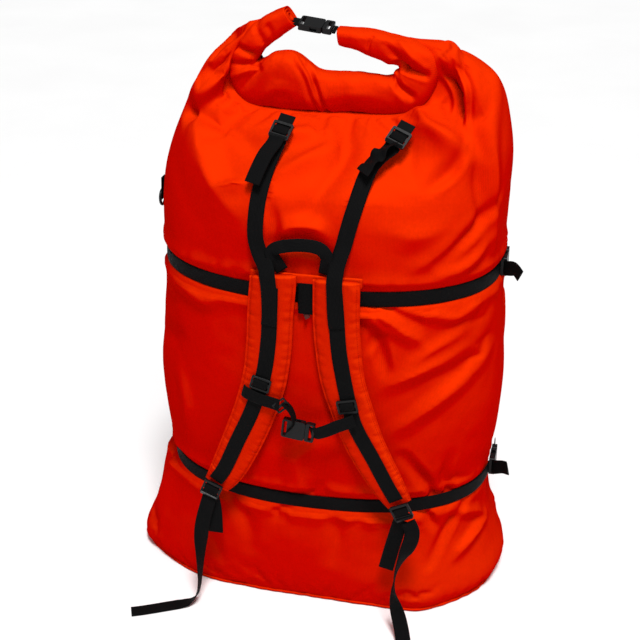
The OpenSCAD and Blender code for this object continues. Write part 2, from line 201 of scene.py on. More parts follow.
def coated_fabric(name, shaded, lit_tone, rubbed):
    """Coated oxford nylon: upright ribs, finer cross threads, faint mottling, and painted light that makes it lighter
    and more orange where it faces up towards the key lamp.
    """
    s = Shader(name, Roughness=0.45, Metallic=0.1, Specular_IOR_Level=0.0)
    s.surface.inputs["Specular Tint"].default_value = (1, 0.3, 0.02, 1)
    across, along, _ = s.split(s.attribute())
    place = s.place()
    ribs, picks = s.thread(across, RIB_PITCH), s.thread(along, PICK_PITCH)
    cloud, mottle = s.noise(place, 5, 4, 0.6), s.noise(place, 160, 3, 0.6)
    # Painted light: the base colour goes from the shaded tone to the lit tone as the surface turns to face the key
    # lamp above and in front.
    normal = s.node("ShaderNodeNewGeometry").outputs["Normal"]
    facing = s.node("ShaderNodeVectorMath", normal, operation="DOT_PRODUCT")
    facing.inputs[1].default_value = LIT_SIDE
    lit_share = s.remap(facing.outputs["Value"], 0.40, 0.95, 0.0, 1.0)
    tone = s.mix(s.math("MULTIPLY_ADD", cloud, 0.1, s.math("MULTIPLY", lit_share, 0.85)), shaded, lit_tone)
    for value, stops in (
        (mottle, [(0.25, (0.9, 0.9, 0.9)), (0.75, (1, 1, 1))]),
        (ribs, [(0.0, (0.88, 0.88, 0.88)), (0.6, (1, 1, 1))]),
    ):
        tone = s.mix(1.0, tone, s.ramp(value, stops), "MULTIPLY")
    _, _, height = s.split(place)
    dust = s.math("MULTIPLY", s.remap(height, 0.0, DUST_TOP, 0.35, 0.0), s.noise(place, 30, 5, 0.7))
    s.feed("Base Color", s.mix(dust, tone, rubbed))
    s.feed("Roughness", s.remap(mottle, 0.3, 0.7, 0.5, 0.62))
    crumple = s.bump(s.noise(place, 26, 4, 0.5, 0.6), 4 * MM, 0.35)
    threads = s.math("MULTIPLY_ADD", ribs, 0.7, s.math("MULTIPLY", picks, 0.3))
    s.feed("Normal", s.bump(threads, 0.25 * MM, 0.6, crumple))
    return s.material


def webbing_fabric():
    """Black ribbed polyester webbing, a little worn."""
    s = Shader("webbing", Roughness=0.75, Specular_IOR_Level=0.06)
    across, along, _ = s.split(s.attribute())
    wales = s.thread(across, RIB_PITCH)
    ribs = s.thread(s.math("MULTIPLY_ADD", across, 0.5, along), 1.6 * MM)
    height = s.math("MULTIPLY_ADD", wales, 0.5, s.math("MULTIPLY", ribs, 0.6))
    tone = s.ramp(height, [(0.1, (0.0008, 0.0008, 0.0009)), (1.0, (0.0042, 0.0042, 0.0045))])
    wear = s.noise(s.place(), 60, 4, 0.65)
    worn = s.ramp(wear, [(0.45, (0, 0, 0)), (0.9, (0.5, 0.5, 0.5))])
    s.feed("Base Color", s.mix(worn, tone, (0.007, 0.0065, 0.0065)))
    s.feed("Roughness", s.remap(wear, 0.3, 0.8, 0.66, 0.82))
    s.feed("Normal", s.bump(height, 0.5 * MM, 0.8))
    return s.material


def moulded_plastic():
    """Black acetal, fine spark-eroded grain, scuffed a little."""
    s = Shader("hardware", Roughness=0.38, Specular_IOR_Level=0.2)
    place = s.place()
    scuff = s.noise(place, 70, 5, 0.7, 1.5)
    s.feed("Base Color", s.ramp(scuff, [(0.3, (0.0015, 0.0015, 0.0018)), (0.8, (0.005, 0.005, 0.0055))]))
    s.feed("Roughness", s.remap(scuff, 0.3, 0.8, 0.3, 0.5))
    s.feed("Normal", s.bump(s.noise(place, 1500, 2, 0.5), 0.1 * MM, 0.5))
    return s.material


def foam(name, colour):
    """Closed-cell foam or soft filling with a fine grain."""
    s = Shader(name, Roughness=0.95)
    cells = s.noise(s.place(), 700, 4, 0.7)
    s.feed("Base Color", s.mix(cells, tuple(c * 0.8 for c in colour), colour))
    s.feed("Normal", s.bump(cells, 0.4 * MM, 0.8))
    return s.material


def floor_paint():
    s = Shader("floor_paint", Roughness=0.9)
    s.feed("Base Color", s.ramp(s.noise(s.place(), 2), [(0.3, (0.93, 0.93, 0.93)), (0.7, (0.96, 0.96, 0.96))]))
    return s.material


# Each fabric's second colour is its painted lit tone, used where it faces the key lamp; the first is its painted
# shaded tone.
shell_fabric = coated_fabric("shell_fabric", (0.57, 0.0006, 0.0002), (0.78, 0.028, 0.0004), (0.42, 0.004, 0.002))
pad_fabric = coated_fabric("pad_fabric", (0.62, 0.010, 0.0004), (0.76, 0.032, 0.0006), (0.5, 0.008, 0.003))
red_thread = coated_fabric("red_thread", (0.42, 0.006, 0.0004), (0.5, 0.01, 0.0005), (0.3, 0.01, 0.005))
webbing = webbing_fabric()
plastic = moulded_plastic()
pad_foam = foam("pad_foam", (0.12, 0.12, 0.12))
stiffener = foam("stiffener", (0.02, 0.02, 0.02))
filling = foam("contents", (0.12, 0.02, 0.015))

bpy.ops.mesh.primitive_plane_add(size=40)
floor = bpy.context.object
floor.name = "floor"
floor.data.materials.append(floor_paint())

# ---------------------------------------------------------------- curves and meshes


def smooth(points, steps):
    """A smooth curve through rows of numbers, with a number of steps between each two."""
    p = np.asarray(points, float)
    q = np.vstack([p[:1], p, p[-1:]])
    t = (np.arange(steps) / steps)[:, None]
    spans = [
        0.5 * (2 * b + (c - a) * t + (2 * a - 5 * b + 4 * c - d) * t**2 + (3 * b - a - 3 * c + d) * t**3)
        for a, b, c, d in zip(q, q[1:], q[2:], q[3:])
    ]
    return np.vstack(spans + [p[-1:]])


def lengths(path):
    return np.concatenate([[0], np.cumsum(np.linalg.norm(np.diff(path[:, :3], axis=0), axis=1))])


def evenly(path, step):
    """The same line with its points a step apart."""
    s = lengths(path)
    at = np.linspace(0, s[-1], max(2, round(s[-1] / step) + 1))
    return np.stack([np.interp(at, s, path[:, k]) for k in range(path.shape[1])], axis=1)


def unit(v):
    return v / np.maximum(np.linalg.norm(v, axis=-1, keepdims=True), 1e-12)


def ease(t):
    t = np.clip(t, 0, 1)
    return t * t * (3 - 2 * t)


def waves(x, y, scale, seed, octaves=2):
    """Smooth seeded noise about 0, from -1 to 1, over two coordinates."""
    r = np.random.default_rng(seed)
    total, gain = np.zeros(np.broadcast(x, y).shape), 1.0
    for _ in range(octaves):
        for _ in range(5):
            angle, phase, stretch = r.uniform(0, TAU), r.uniform(0, TAU), r.uniform(0.7, 1.4)
            total += gain * np.sin((x * math.cos(angle) + y * math.sin(angle)) * TAU * stretch / scale + phase)
        scale, gain = scale / 2.1, gain * 0.5
    return total / (5 * 1.2)


def grid_faces(rows, cols, closed):
    i, j = np.meshgrid(np.arange(rows - 1), np.arange(cols if closed else cols - 1), indexing="ij")
    k = (j + 1) % cols
    return np.stack([i * cols + j, i * cols + k, (i + 1) * cols + k, (i + 1) * cols + j], -1).reshape(-1, 4)


def mesh_object(name, points, faces, material, weave=None):
    mesh = bpy.data.meshes.new(name)
    mesh.from_pydata(np.asarray(points, float).reshape(-1, 3).tolist(), [], [list(map(int, f)) for f in faces])
    mesh.update()
    mesh.shade_smooth()
    mesh.materials.append(material)
    if weave is not None:
        a = mesh.attributes.new("weave", "FLOAT_VECTOR", "POINT")
        a.data.foreach_set("vector", np.asarray(weave, np.float32).ravel())
    obj = bpy.data.objects.new(name, mesh)
    bpy.context.scene.collection.objects.link(obj)
    return obj


def end_faces(rows, cols):
    """Faces that close both ends of a flat tube, whose rings run across its front and return over its back."""
    m = 2 * (cols + 1)
    faces = []
    for first, turned in ((0, False), ((rows - 1) * m, True)):
        for j in range(cols):
            q = [first + j, first + j + 1, first + m - 2 - j, first + m - 1 - j]
            faces.append(q[::-1] if turned else q)
    return faces


def outward(obj):
    """Turns the faces of a closed mesh so that they look outwards."""
    b = bmesh.new()
    b.from_mesh(obj.data)
    bmesh.ops.recalc_face_normals(b, faces=b.faces)
    b.to_mesh(obj.data)
    b.free()
    return obj


def band(name, centre, across, width, thick, material=None, flutter=0.0, seed=1, cols=8):
    """A flat strap along a line. across is the direction of its width, for the whole or for each point."""
    c = np.asarray(centre, float)
    n = len(c)
    along = unit(np.gradient(c, axis=0))
    w = np.broadcast_to(np.asarray(across, float), c.shape)
    w = unit(w - along * np.sum(w * along, 1, keepdims=True))
    up = np.cross(w, along)
    width = np.broadcast_to(np.asarray(width, float), (n,))
    s = np.linspace(-1, 1, cols + 1)
    dist = lengths(c)
    edge = thick / 2 * (0.4 + 0.6 * (1 - np.abs(s) ** 8))
    wave = flutter * waves(dist[:, None], s[None, :] * 0.01, 0.05, seed)
    mid = c[:, None, :] + w[:, None, :] * (width[:, None] / 2 * s[None, :])[..., None]
    mid = mid + up[:, None, :] * wave[..., None]
    top = mid + up[:, None, :] * edge[None, :, None]
    low = mid - up[:, None, :] * edge[None, :, None]
    rings = np.concatenate([top, low[:, ::-1]], axis=1)
    m = rings.shape[1]
    weave = np.zeros((n, m, 3))
    weave[..., 0] = np.concatenate([s, s[::-1]])[None, :] * width[:, None] / 2
    weave[..., 1] = dist[:, None]
    faces = grid_faces(n, m, True).tolist() + end_faces(n, cols)
    return outward(mesh_object(name, rings, faces, material or webbing, weave.reshape(-1, 3)))


def finish_piece(obj, body, slot, *nodes):
    """A piece that rides on one body and stands for the CAD nodes named."""
    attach(obj, body)
    if nodes:
        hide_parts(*nodes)
    return obj


def finish_blend(obj, body, x, slot, *nodes):
    """A piece with its transform baked into its mesh, which stands for the CAD nodes named; it rides on no body and
    does not bend. The arguments body and x are not used.
    """
    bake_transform(obj)
    if nodes:
        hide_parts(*nodes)
    return obj


STITCH, STITCH_GAP, THREAD_RADIUS = 2.6 * MM, 1.4 * MM, 0.42 * MM


def stitches(name, lines, out, material):
    """Rows of raised thread dashes along lines that lie on a surface facing out."""
    length, gap, radius = STITCH, STITCH_GAP, THREAD_RADIUS
    points, faces = [], []
    turn = np.linspace(0, TAU, 7)[:-1]
    for line in lines:
        line = np.asarray(line, float)
        s = lengths(line)
        at = 0.0
        while at + length < s[-1]:
            a, m, b = (np.array([np.interp(at + q * length, s, line[:, k]) for k in range(3)]) for q in (0, 0.5, 1))
            d = unit(b - a)
            o = unit(np.asarray(out, float) - d * np.dot(out, d))
            side = np.cross(d, o)
            base = len(points)
            for q, r, lift in ((0, 0.4, -0.6), (0.18, 1, 0.1), (0.5, 1.1, 0.35), (0.82, 1, 0.1), (1, 0.4, -0.6)):
                mid = a + (b - a) * q + o * radius * lift
                points += [mid + radius * r * (math.cos(t) * side + math.sin(t) * o) for t in turn]
            faces += (grid_faces(5, 6, True) + base).tolist()
            faces += [[base + k for k in range(6)], [base + 24 + k for k in range(5, -1, -1)]]
            at += length + gap
    return outward(mesh_object(name, points, faces, material))


# ---------------------------------------------------------------- free webbing tails

WEB = 25 * MM
WEB_THICK = 2 * MM

# Free adjuster tails: middle of the webbing, then the direction of its width.
LEFT_LONG_TAIL = [
    (-0.163, -0.233, 0.214, 1, 0, 0), (-0.168, -0.236, 0.196, 1, 0, 0), (-0.173, -0.238, 0.176, 1, 0.1, 0),
    (-0.177, -0.240, 0.155, 1, 0.3, 0), (-0.179, -0.241, 0.134, 1, 0.7, 0), (-0.180, -0.242, 0.112, 0.6, 1, 0),
    (-0.181, -0.243, 0.090, 0.3, 1, 0), (-0.182, -0.244, 0.068, 0.1, 1, 0), (-0.183, -0.246, 0.048, 0, 1, 0),
    (-0.185, -0.248, 0.030, 0, 1, 0), (-0.190, -0.250, 0.014, 0.1, 1, 0), (-0.199, -0.254, 0.005, 0.2, 1, 0),
    (-0.211, -0.260, 0.002, 0.3, 1, 0), (-0.226, -0.268, 0.0016, 0.45, 1, 0), (-0.243, -0.277, 0.0016, 0.5, 1, 0),
    (-0.260, -0.286, 0.0016, 0.5, 1, 0), (-0.276, -0.294, 0.0016, 0.45, 1, 0), (-0.292, -0.301, 0.0016, 0.4, 1, 0),
]
RIGHT_LONG_TAIL = [
    (0.174, -0.233, 0.214, 1, 0, 0), (0.182, -0.238, 0.200, 1, 0, 0), (0.181, -0.243, 0.184, 1, 0.2, 0),
    (0.175, -0.246, 0.166, 1, 0.5, 0), (0.168, -0.248, 0.148, 0.7, 1, 0), (0.162, -0.249, 0.130, 0.3, 1, 0),
    (0.158, -0.250, 0.111, 0, 1, 0), (0.157, -0.251, 0.092, -0.3, 1, 0), (0.159, -0.253, 0.073, -0.7, 0.7, 0),
    (0.163, -0.256, 0.054, -1, 0.3, 0), (0.169, -0.261, 0.036, -1, 0, 0), (0.175, -0.269, 0.019, -1, 0, 0),
    (0.180, -0.281, 0.007, -1, 0.1, 0), (0.184, -0.297, 0.002, -1, 0.2, 0), (0.187, -0.316, 0.0016, -1, 0.2, 0),
    (0.190, -0.336, 0.0016, -1, 0.1, 0), (0.192, -0.356, 0.0016, -1, 0.1, 0), (0.193, -0.376, 0.0016, -1, 0, 0),
]


def long_tail(name, route, body, node):
    """A long free end of webbing on a measured route."""
    path = smooth(route, 5)
    tail = band(name, path[:, :3], path[:, 3:], WEB, WEB_THICK)
    finish_piece(tail, body, "webbing", node)


long_tail("left_long_strap_tail", LEFT_LONG_TAIL, "left_ladder", "left_long_tail")
long_tail("right_long_strap_tail", RIGHT_LONG_TAIL, "right_ladder", "right_long_tail")

# ---------------------------------------------------------------- lines of the harness

PAD_Y = -0.2215  # middle of the pads' thickness
PAD_W = 73 * MM
PAD_HALF = 7.5 * MM  # half the thickness of a pad
PAD_WEB_Y = PAD_Y - PAD_HALF - 1.4 * MM  # webbing sewn on the pads
OVER_WEB_Y = PAD_WEB_Y - 1.6 * MM  # what lies over that webbing
LEFT_PAD = [(-0.050, 0.613), (-0.055, 0.560), (-0.058, 0.506), (-0.066, 0.446), (-0.082, 0.389), (-0.106, 0.326),
            (-0.132, 0.268), (-0.154, 0.232)]
RIGHT_PAD = [(0.050, 0.613), (0.050, 0.560), (0.053, 0.516), (0.060, 0.461), (0.074, 0.412), (0.098, 0.345),
             (0.132, 0.280), (0.158, 0.238)]
PAD_WIDTHS = (1, 1, 1, 0.98, 0.95, 0.9, 0.8, 0.6)
LEFT_WEB = [(-0.052, 0.610), (-0.054, 0.556), (-0.057, 0.513), (-0.066, 0.454), (-0.086, 0.389), (-0.113, 0.326),
            (-0.136, 0.272), (-0.152, 0.246)]
RIGHT_WEB = [(0.049, 0.610), (0.052, 0.570), (0.056, 0.515), (0.063, 0.470), (0.072, 0.425), (0.084, 0.380),
             (0.114, 0.323), (0.137, 0.278), (0.153, 0.250)]
PAD_SEAM = 0.86  # share of the half width at which the edge is topstitched
PAD_FLANGE = 0.9  # share of the half width at which the thin sewn edge starts

LEFT_LIFTER = [(-0.0592, -0.1345, 0.8195), (-0.060, -0.139, 0.812), (-0.070, -0.167, 0.782),
               (-0.078, -0.194, 0.739), (-0.080, -0.2085, 0.691), (-0.074, -0.214, 0.665),
               (-0.060, -0.226, 0.643), (-0.056, -0.2322, 0.628), (-0.0535, -0.2328, 0.604),
               (-0.053, -0.2328, 0.570), (-0.0545, -0.2328, 0.546)]
RIGHT_LIFTER = [(0.118, -0.1345, 0.8195), (0.112, -0.139, 0.812), (0.088, -0.166, 0.790), (0.070, -0.199, 0.730),
                (0.058, -0.2095, 0.680), (0.051, -0.219, 0.655), (0.049, -0.2322, 0.632), (0.0495, -0.2328, 0.604), (0.051, -0.2328, 0.570),
                (0.053, -0.2328, 0.552)]

HAUL = [(-0.036, -0.2155, 0.634), (-0.046, -0.217, 0.650), (-0.053, -0.219, 0.662), (-0.044, -0.220, 0.672),
        (-0.022, -0.2195, 0.678), (0.004, -0.219, 0.680), (0.024, -0.2185, 0.676), (0.034, -0.218, 0.664),
        (0.033, -0.217, 0.650), (0.030, -0.2155, 0.634)]

# ---------------------------------------------------------------- bag shell

# Sections of the body: height, half width, half depth, middle in Y, roundness.
SECTIONS = [
    (0.0044, 0.322, 0.184, 0, 2.25), (0.030, 0.334, 0.191, 0, 2.15), (0.070, 0.318, 0.196, 0, 2.2),
    (0.130, 0.296, 0.200, 0, 2.3), (0.190, 0.283, 0.200, 0, 2.4), (0.226, 0.283, 0.200, 0, 2.4),
    (0.290, 0.294, 0.206, 0, 2.4), (0.380, 0.300, 0.208, 0, 2.4), (0.480, 0.290, 0.207, 0, 2.4),
    (0.572, 0.280, 0.202, 0, 2.4), (0.608, 0.280, 0.202, 0, 2.4), (0.680, 0.280, 0.199, 0, 2.4),
    (0.740, 0.277, 0.180, 0, 2.4), (0.785, 0.272, 0.151, 0.002, 2.4),
]
SHOULDER = 0.735  # height at which the sloping top starts
COLS = 420
TOP_LENGTH = 0.17  # from the shoulder to the mouth along the fabric
BODY_ROWS = 190
TOP_ROWS = 76
fine_sections = smooth(SECTIONS, 20)


def section(z):
    return [np.interp(z, fine_sections[:, 0], fine_sections[:, k]) for k in range(1, 5)]


def ring(z):
    """Points around the body at a height, evenly spaced: back, left, front, right."""
    a, b, mid, power = section(z)
    t = np.linspace(0, TAU, 3001)
    s, c = np.sin(t), np.cos(t)
    x = -a * np.sign(s) * np.abs(s) ** (2 / power)
    y = mid + b * np.sign(c) * np.abs(c) ** (2 / power)
    line = np.stack([x, y, np.full_like(x, z)], 1)
    d = lengths(line)
    at = np.arange(COLS) / COLS * d[-1]
    return np.stack([np.interp(at, d, line[:, k]) for k in range(3)], 1)


# Where the fabric goes into the roll: share of the way round, point, direction there, and upward pull of the body.
MOUTH = [
    (0.00, 0.000, -0.016, 0.893, 0, -0.10, 0.03, 0.12), (0.10, -0.100, -0.012, 0.896, 0.02, -0.06, 0.06, 0.12),
    (0.16, -0.128, -0.002, 0.935, 0.06, -0.05, 0.08, 0.18), (0.21, -0.128, -0.010, 0.956, 0.12, -0.02, 0.12, 0.26),
    (0.25, -0.112, -0.020, 0.972, 0.18, 0, 0.16, 0.32), (0.29, -0.122, -0.030, 0.962, 0.17, 0.03, 0.10, 0.32),
    (0.32, -0.142, -0.036, 0.936, 0.15, 0.05, 0.02, 0.28), (0.345, -0.160, -0.038, 0.905, 0.13, 0.06, -0.02, 0.22),
    (0.37, -0.158, -0.042, 0.872, 0.10, 0.08, -0.01, 0.17), (0.40, -0.130, -0.046, 0.846, 0.05, 0.11, 0.0, 0.13),
    (0.45, -0.075, -0.046, 0.840, 0.01, 0.12, 0.01, 0.11), (0.50, 0.000, -0.046, 0.838, 0, 0.12, 0.01, 0.11),
    (0.56, 0.085, -0.046, 0.840, -0.01, 0.12, 0.01, 0.11), (0.60, 0.130, -0.044, 0.847, -0.05, 0.11, 0.0, 0.13),
    (0.64, 0.158, -0.040, 0.872, -0.14, 0.08, 0.0, 0.20), (0.67, 0.155, -0.036, 0.905, -0.20, 0.06, 0.01, 0.32),
    (0.70, 0.142, -0.030, 0.934, -0.26, 0.04, 0.03, 0.44), (0.75, 0.120, -0.020, 0.953, -0.34, 0, 0.05, 0.50),
    (0.80, 0.122, -0.008, 0.949, -0.30, -0.03, 0.04, 0.44), (0.86, 0.120, 0.000, 0.930, -0.14, -0.06, 0.05, 0.26),
    (0.91, 0.094, -0.012, 0.894, -0.03, -0.08, 0.04, 0.14), (1.00, 0.000, -0.016, 0.893, 0, -0.10, 0.03, 0.12),
]


def around(table, share):
    """Smooth closed interpolation of a table whose first column runs from 0 to 1."""
    t = np.asarray(table, float)
    wrapped = np.vstack([t[-4:-1] - [1] + 0, t, t[1:4]])
    wrapped[:3, 0] = t[-4:-1, 0] - 1
    wrapped[:3, 1:] = t[-4:-1, 1:]
    wrapped[-3:, 0] = t[1:4, 0] + 1
    fine = smooth(wrapped, 16)
    return np.stack([np.interp(share, fine[:, 0], fine[:, k]) for k in range(1, t.shape[1])], 1)


def bag_surface():
    base_z = SECTIONS[0][0]
    levels = base_z + (SHOULDER - base_z) * np.linspace(0, 1, BODY_ROWS)
    rows = [ring(z) for z in levels]
    share = np.arange(COLS) / COLS
    mouth = around(MOUTH, share)
    start = rows[-1]
    rise = unit(ring(SHOULDER + 0.012) - ring(SHOULDER - 0.012)) * mouth[:, 6:7]
    goal, enter = mouth[:, :3], mouth[:, 3:6]
    for t in np.linspace(0, 1, TOP_ROWS)[1:]:
        a, b = 2 * t**3 - 3 * t**2 + 1, t**3 - 2 * t**2 + t
        c, d = -2 * t**3 + 3 * t**2, t**3 - t**2
        rows.append(a * start + b * rise + c * goal + d * enter)
    return np.array(rows)


def grid_normals(g):
    """Outward normals of a grid of rings."""
    du = np.roll(g, -1, 1) - np.roll(g, 1, 1)
    dv = np.gradient(g, axis=0)
    return unit(np.cross(du, dv))


# Folds of the front, in mm: points in X and Z, height at each point before FOLD_GAIN, and reach to the left and to the
# right of the line as it is walked on the fabric's outside. A negative height is a crease.
FOLDS = [
    # shoulder fold on the left, from the pucker up to the roll's end
    ([(-216, 838), (-180, 868), (-164, 898), (-150, 926), (-122, 958)], [2, 9, 11, 11, 5], 40, 12),
    ([(-196, 842), (-172, 862), (-160, 884)], [-2, -9, -9], 12, 16),
    # ridges that leave the pucker downwards
    ([(-218, 834), (-194, 806), (-176, 772), (-148, 736), (-102, 698)], [-3, 5, 8, 7, 1], 34, 60),
    ([(-218, 836), (-184, 828), (-136, 814), (-96, 788)], [-6, -5, -4, -1], 28, 14),
    ([(-226, 836), (-216, 828)], [-9, -7], 16, 16),
    # soft folds between the roll and the haul handle
    ([(-110, 806), (-48, 812), (10, 820)], [1, 6, 2], 14, 24),
    ([(-64, 762), (-20, 784), (20, 804)], [1, 6, 3], 14, 26),
    ([(-150, 736), (-118, 748), (-92, 752)], [1, 5, 1], 8, 20),
    ([(36, 828), (44, 804), (30, 772), (-10, 706)], [-4, -7, -6, -1], 34, 24),
    ([(-48, 686), (-22, 698), (8, 700), (30, 690)], [1, 6, 6, 1], 22, 10),
    ([(-50, 664), (-10, 676), (30, 666)], [-2, -5, -2], 10, 18),
    ([(-60, 730), (-50, 700), (-52, 672)], [-1, -4, -3], 12, 12),
    # the tuck under the right shoulder
    ([(188, 904), (196, 868), (216, 820)], [-10, -26, -8], 32, 7),
    ([(172, 892), (182, 864), (204, 832)], [-10, -16, -5], 26, 22),
    ([(186, 930), (208, 886), (212, 848), (228, 812)], [6, 13, 12, 3], 7, 60),
    ([(148, 850), (164, 834), (186, 828), (224, 808)], [5, 11, 10, 2], 8, 50),
    ([(164, 930), (184, 904), (196, 880)], [-4, -9, -12], 10, 10),
    # upright folds on the right shoulder
    ([(240, 890), (248, 820), (258, 750), (266, 650)], [3, 5, 6, 2], 22, 16),
    ([(228, 820), (240, 760), (252, 690)], [-2, -5, -2], 14, 20),
    ([(214, 812), (200, 780), (170, 760)], [-3, -5, -1], 16, 20),
    ([(190, 652), (236, 686), (268, 728)], [-2, -6, -2], 20, 14),
    ([(160, 640), (204, 668), (250, 716)], [1, 4, 1], 18, 16),
    ([(196, 628), (236, 640), (262, 668)], [2, 5, 1], 12, 18),
    ([(120, 700), (160, 690), (200, 700)], [1, 3, 1], 26, 30),
    # puckers under the upper belt
    ([(86, 572), (120, 552), (172, 520)], [6, 7, 2], 10, 22),
    ([(92, 588), (140, 568), (172, 548)], [-3, -5, -2], 9, 12),
    ([(100, 574), (112, 556), (140, 536)], [-2, -5, -1], 7, 9),
    ([(112, 530), (118, 496), (124, 468)], [-2, -6, -2], 8, 16),
    ([(100, 546), (104, 520), (98, 500)], [-1, -4, -1], 8, 10),
    ([(180, 560), (220, 548), (256, 560)], [1, 4, 1], 12, 16),
    ([(-230, 564), (-180, 548), (-140, 556)], [1, 4, 1], 16, 22),
    # long slanting pulls between the belts
    ([(124, 440), (176, 468), (236, 492)], [1, 6, 2], 16, 24),
    ([(138, 356), (206, 414), (276, 466)], [1, 6, 2], 20, 26),
    ([(150, 470), (190, 500), (236, 520)], [1, 4, 1], 14, 20),
    ([(156, 312), (188, 262), (204, 228)], [-2, -6, -5], 12, 18),
    ([(230, 300), (222, 262), (226, 226)], [-1, -5, -5], 14, 14),
    ([(-232, 420), (-216, 350), (-222, 290)], [1, 4, 1], 22, 30),
    ([(20, 330), (-20, 290), (-10, 236)], [1, 3, 2], 30, 30),
    # below the lower belt
    ([(184, 206), (200, 180), (218, 144)], [-4, -6, -1], 10, 14),
    ([(258, 188), (238, 158), (206, 90)], [-2, -6, -2], 12, 18),
    ([(252, 98), (276, 118), (296, 120)], [4, 7, 2], 10, 24),
    ([(244, 172), (276, 150), (292, 120)], [3, 6, 1], 12, 14),
    ([(-262, 190), (-280, 120), (-300, 50)], [2, 5, 1], 40, 30),
    ([(-140, 186), (-110, 150), (-104, 100)], [-3, -3, -1], 22, 24),
    ([(40, 188), (52, 150), (46, 100)], [-2, -3, -1], 24, 24),
]


def fold(grid, normals, line, heights, left, right, crest=2.2 * MM):
    """How far each point of the grid rises for a fold along a line on it, with a crest of the given radius."""
    pts = grid.reshape(-1, 3)
    nrm = normals.reshape(-1, 3)
    line = np.asarray(line, float)
    reach = max(left, right) * 1.05
    best = np.full(len(pts), np.inf)
    signed = np.zeros(len(pts))
    height = np.zeros(len(pts))
    for k in range(len(line) - 1):
        a, b = line[k], line[k + 1]
        near = np.where(np.linalg.norm(pts - (a + b) / 2, axis=1) < reach + np.linalg.norm(b - a))[0]
        p = pts[near] - a
        d = b - a
        t = np.clip(p @ d / (d @ d), 0, 1)
        off = p - t[:, None] * d
        dist = np.linalg.norm(off, axis=1)
        side = np.sign(np.einsum("ij,ij->i", np.cross(d[None], off), nrm[near]))
        closer = dist < best[near]
        idx = near[closer]
        best[idx] = dist[closer]
        signed[idx] = side[closer]
        height[idx] = (heights[k] + (heights[k + 1] - heights[k]) * t)[closer]
    width = np.where(signed > 0, left, right)
    s = 1 - (np.sqrt(best**2 + crest**2) - crest) / width
    s = np.clip(np.nan_to_num(s, neginf=0), 0, 1)
    return (height * s**1.5).reshape(grid.shape[:2])


def on_front(flat, line):
    """Points of the front surface for a line in X and Z."""
    front = flat[:, 1] < 0.02
    out = []
    for x, z in line:
        d = np.where(front, (flat[:, 0] - x) ** 2 + (flat[:, 2] - z) ** 2, 9)
        near = np.argsort(d)[:4]
        out.append(flat[near].mean(0))
    return np.array(out)


def densify(line, heights, step=12 * MM):
    """A fold's line with its heights as a fourth column, on a smooth curve with points a step apart."""
    return evenly(smooth(np.column_stack([line, heights]), 6), step)


FOLD_GAIN = 2.1
bag = bag_surface()
girth = lengths(np.vstack([ring(0.4), ring(0.4)[:1]]))[:-1]
normals = grid_normals(bag)
lift = np.zeros(bag.shape[:2])
flat = bag.reshape(-1, 3)
for line, heights, left, right in FOLDS:
    rows = densify(on_front(flat, np.array(line) * MM), np.array(heights) * FOLD_GAIN * MM)
    lift += fold(bag, normals, rows[:, :3], rows[:, 3], left * MM, right * MM)

# Sides and back: seeded soft folds, mostly slanting.
SIDE_FOLDS = 46
rng = np.random.default_rng(11)
for _ in range(SIDE_FOLDS):
    share = rng.choice([rng.uniform(0.78, 1.0), rng.uniform(0.0, 0.26)])
    col = int(share * COLS) % COLS
    row = int(rng.uniform(0.06, 0.86) * BODY_ROWS)
    drift = rng.uniform(-26, 26)
    span = rng.uniform(10, 34)
    path = []
    for t in (0, 0.5, 1):
        r = int(np.clip(row + (t - 0.5) * span, 2, BODY_ROWS - 2))
        path.append(bag[r, int(col + (t - 0.5) * drift) % COLS])
    size = rng.uniform(3.0, 8.0) * rng.choice([1, 1, -1]) * MM
    rows = densify(np.array(path), [size * 0.2, size, size * 0.2])
    lift += fold(bag, normals, rows[:, :3], rows[:, 3], rng.uniform(0.014, 0.03), rng.uniform(0.014, 0.03))

across_grid = np.broadcast_to(girth[None, :], bag.shape[:2])
up_grid = np.broadcast_to(np.concatenate([
    np.linspace(SECTIONS[0][0], SHOULDER, BODY_ROWS),
    SHOULDER + np.linspace(0, TOP_LENGTH, TOP_ROWS)[1:]])[:, None], bag.shape[:2])
lift += 1.6 * MM * waves(across_grid, up_grid * 0.8, 0.16, 3, 3)

# Compression belts: height, half width and half depth of the bag under them, size of the puckers beside them.
BELTS = {"lower": (0.208, 0.283, 0.200, 4.2 * MM), "upper": (0.590, 0.280, 0.202, 3.4 * MM)}
BELT_POWER = 2.4
for belt_z, _, _, size in BELTS.values():
    gap = np.abs(bag[..., 2] - belt_z) - 13 * MM
    for side, seed in ((1, 5), (-1, 9)):
        here = np.where((bag[..., 2] - belt_z) * side > 0, 1.0, 0.0)
        ripple = waves(across_grid, up_grid * 0.25, 0.055, seed + int(belt_z * 100), 2)
        lift += here * size * ripple * np.exp(-np.maximum(gap, 0) / 0.028) * (gap > -0.002)
        lift += here * 4.5 * MM * np.exp(-(((gap - 0.012) / 0.014) ** 2))

# The base seam gathers the fabric a little.
foot = np.exp(-(bag[..., 2] - SECTIONS[0][0]) / 0.02)
lift += 1.6 * MM * foot * waves(across_grid, up_grid, 0.03, 21, 2)


def soften(field, first_row, times):
    """Evens out steps between neighbouring points, from a row upwards."""
    part = field[first_row:]
    for _ in range(times):
        part = (np.roll(part, 1, 1) + 2 * part + np.roll(part, -1, 1)) / 4
        edge = np.vstack([part[:1], part, part[-1:]])
        part = (edge[:-2] + 2 * part + edge[2:]) / 4
    mix = np.minimum(1, np.arange(len(part)) / 6)[:, None] if first_row else 1
    field[first_row:] = field[first_row:] * (1 - mix) + part * mix


soften(lift, 0, 1)
soften(lift, BODY_ROWS + 10, 5)
lift[-6:] *= np.linspace(1, 0, 6)[:, None] ** 0.5
bag = bag + normals * lift[..., None]


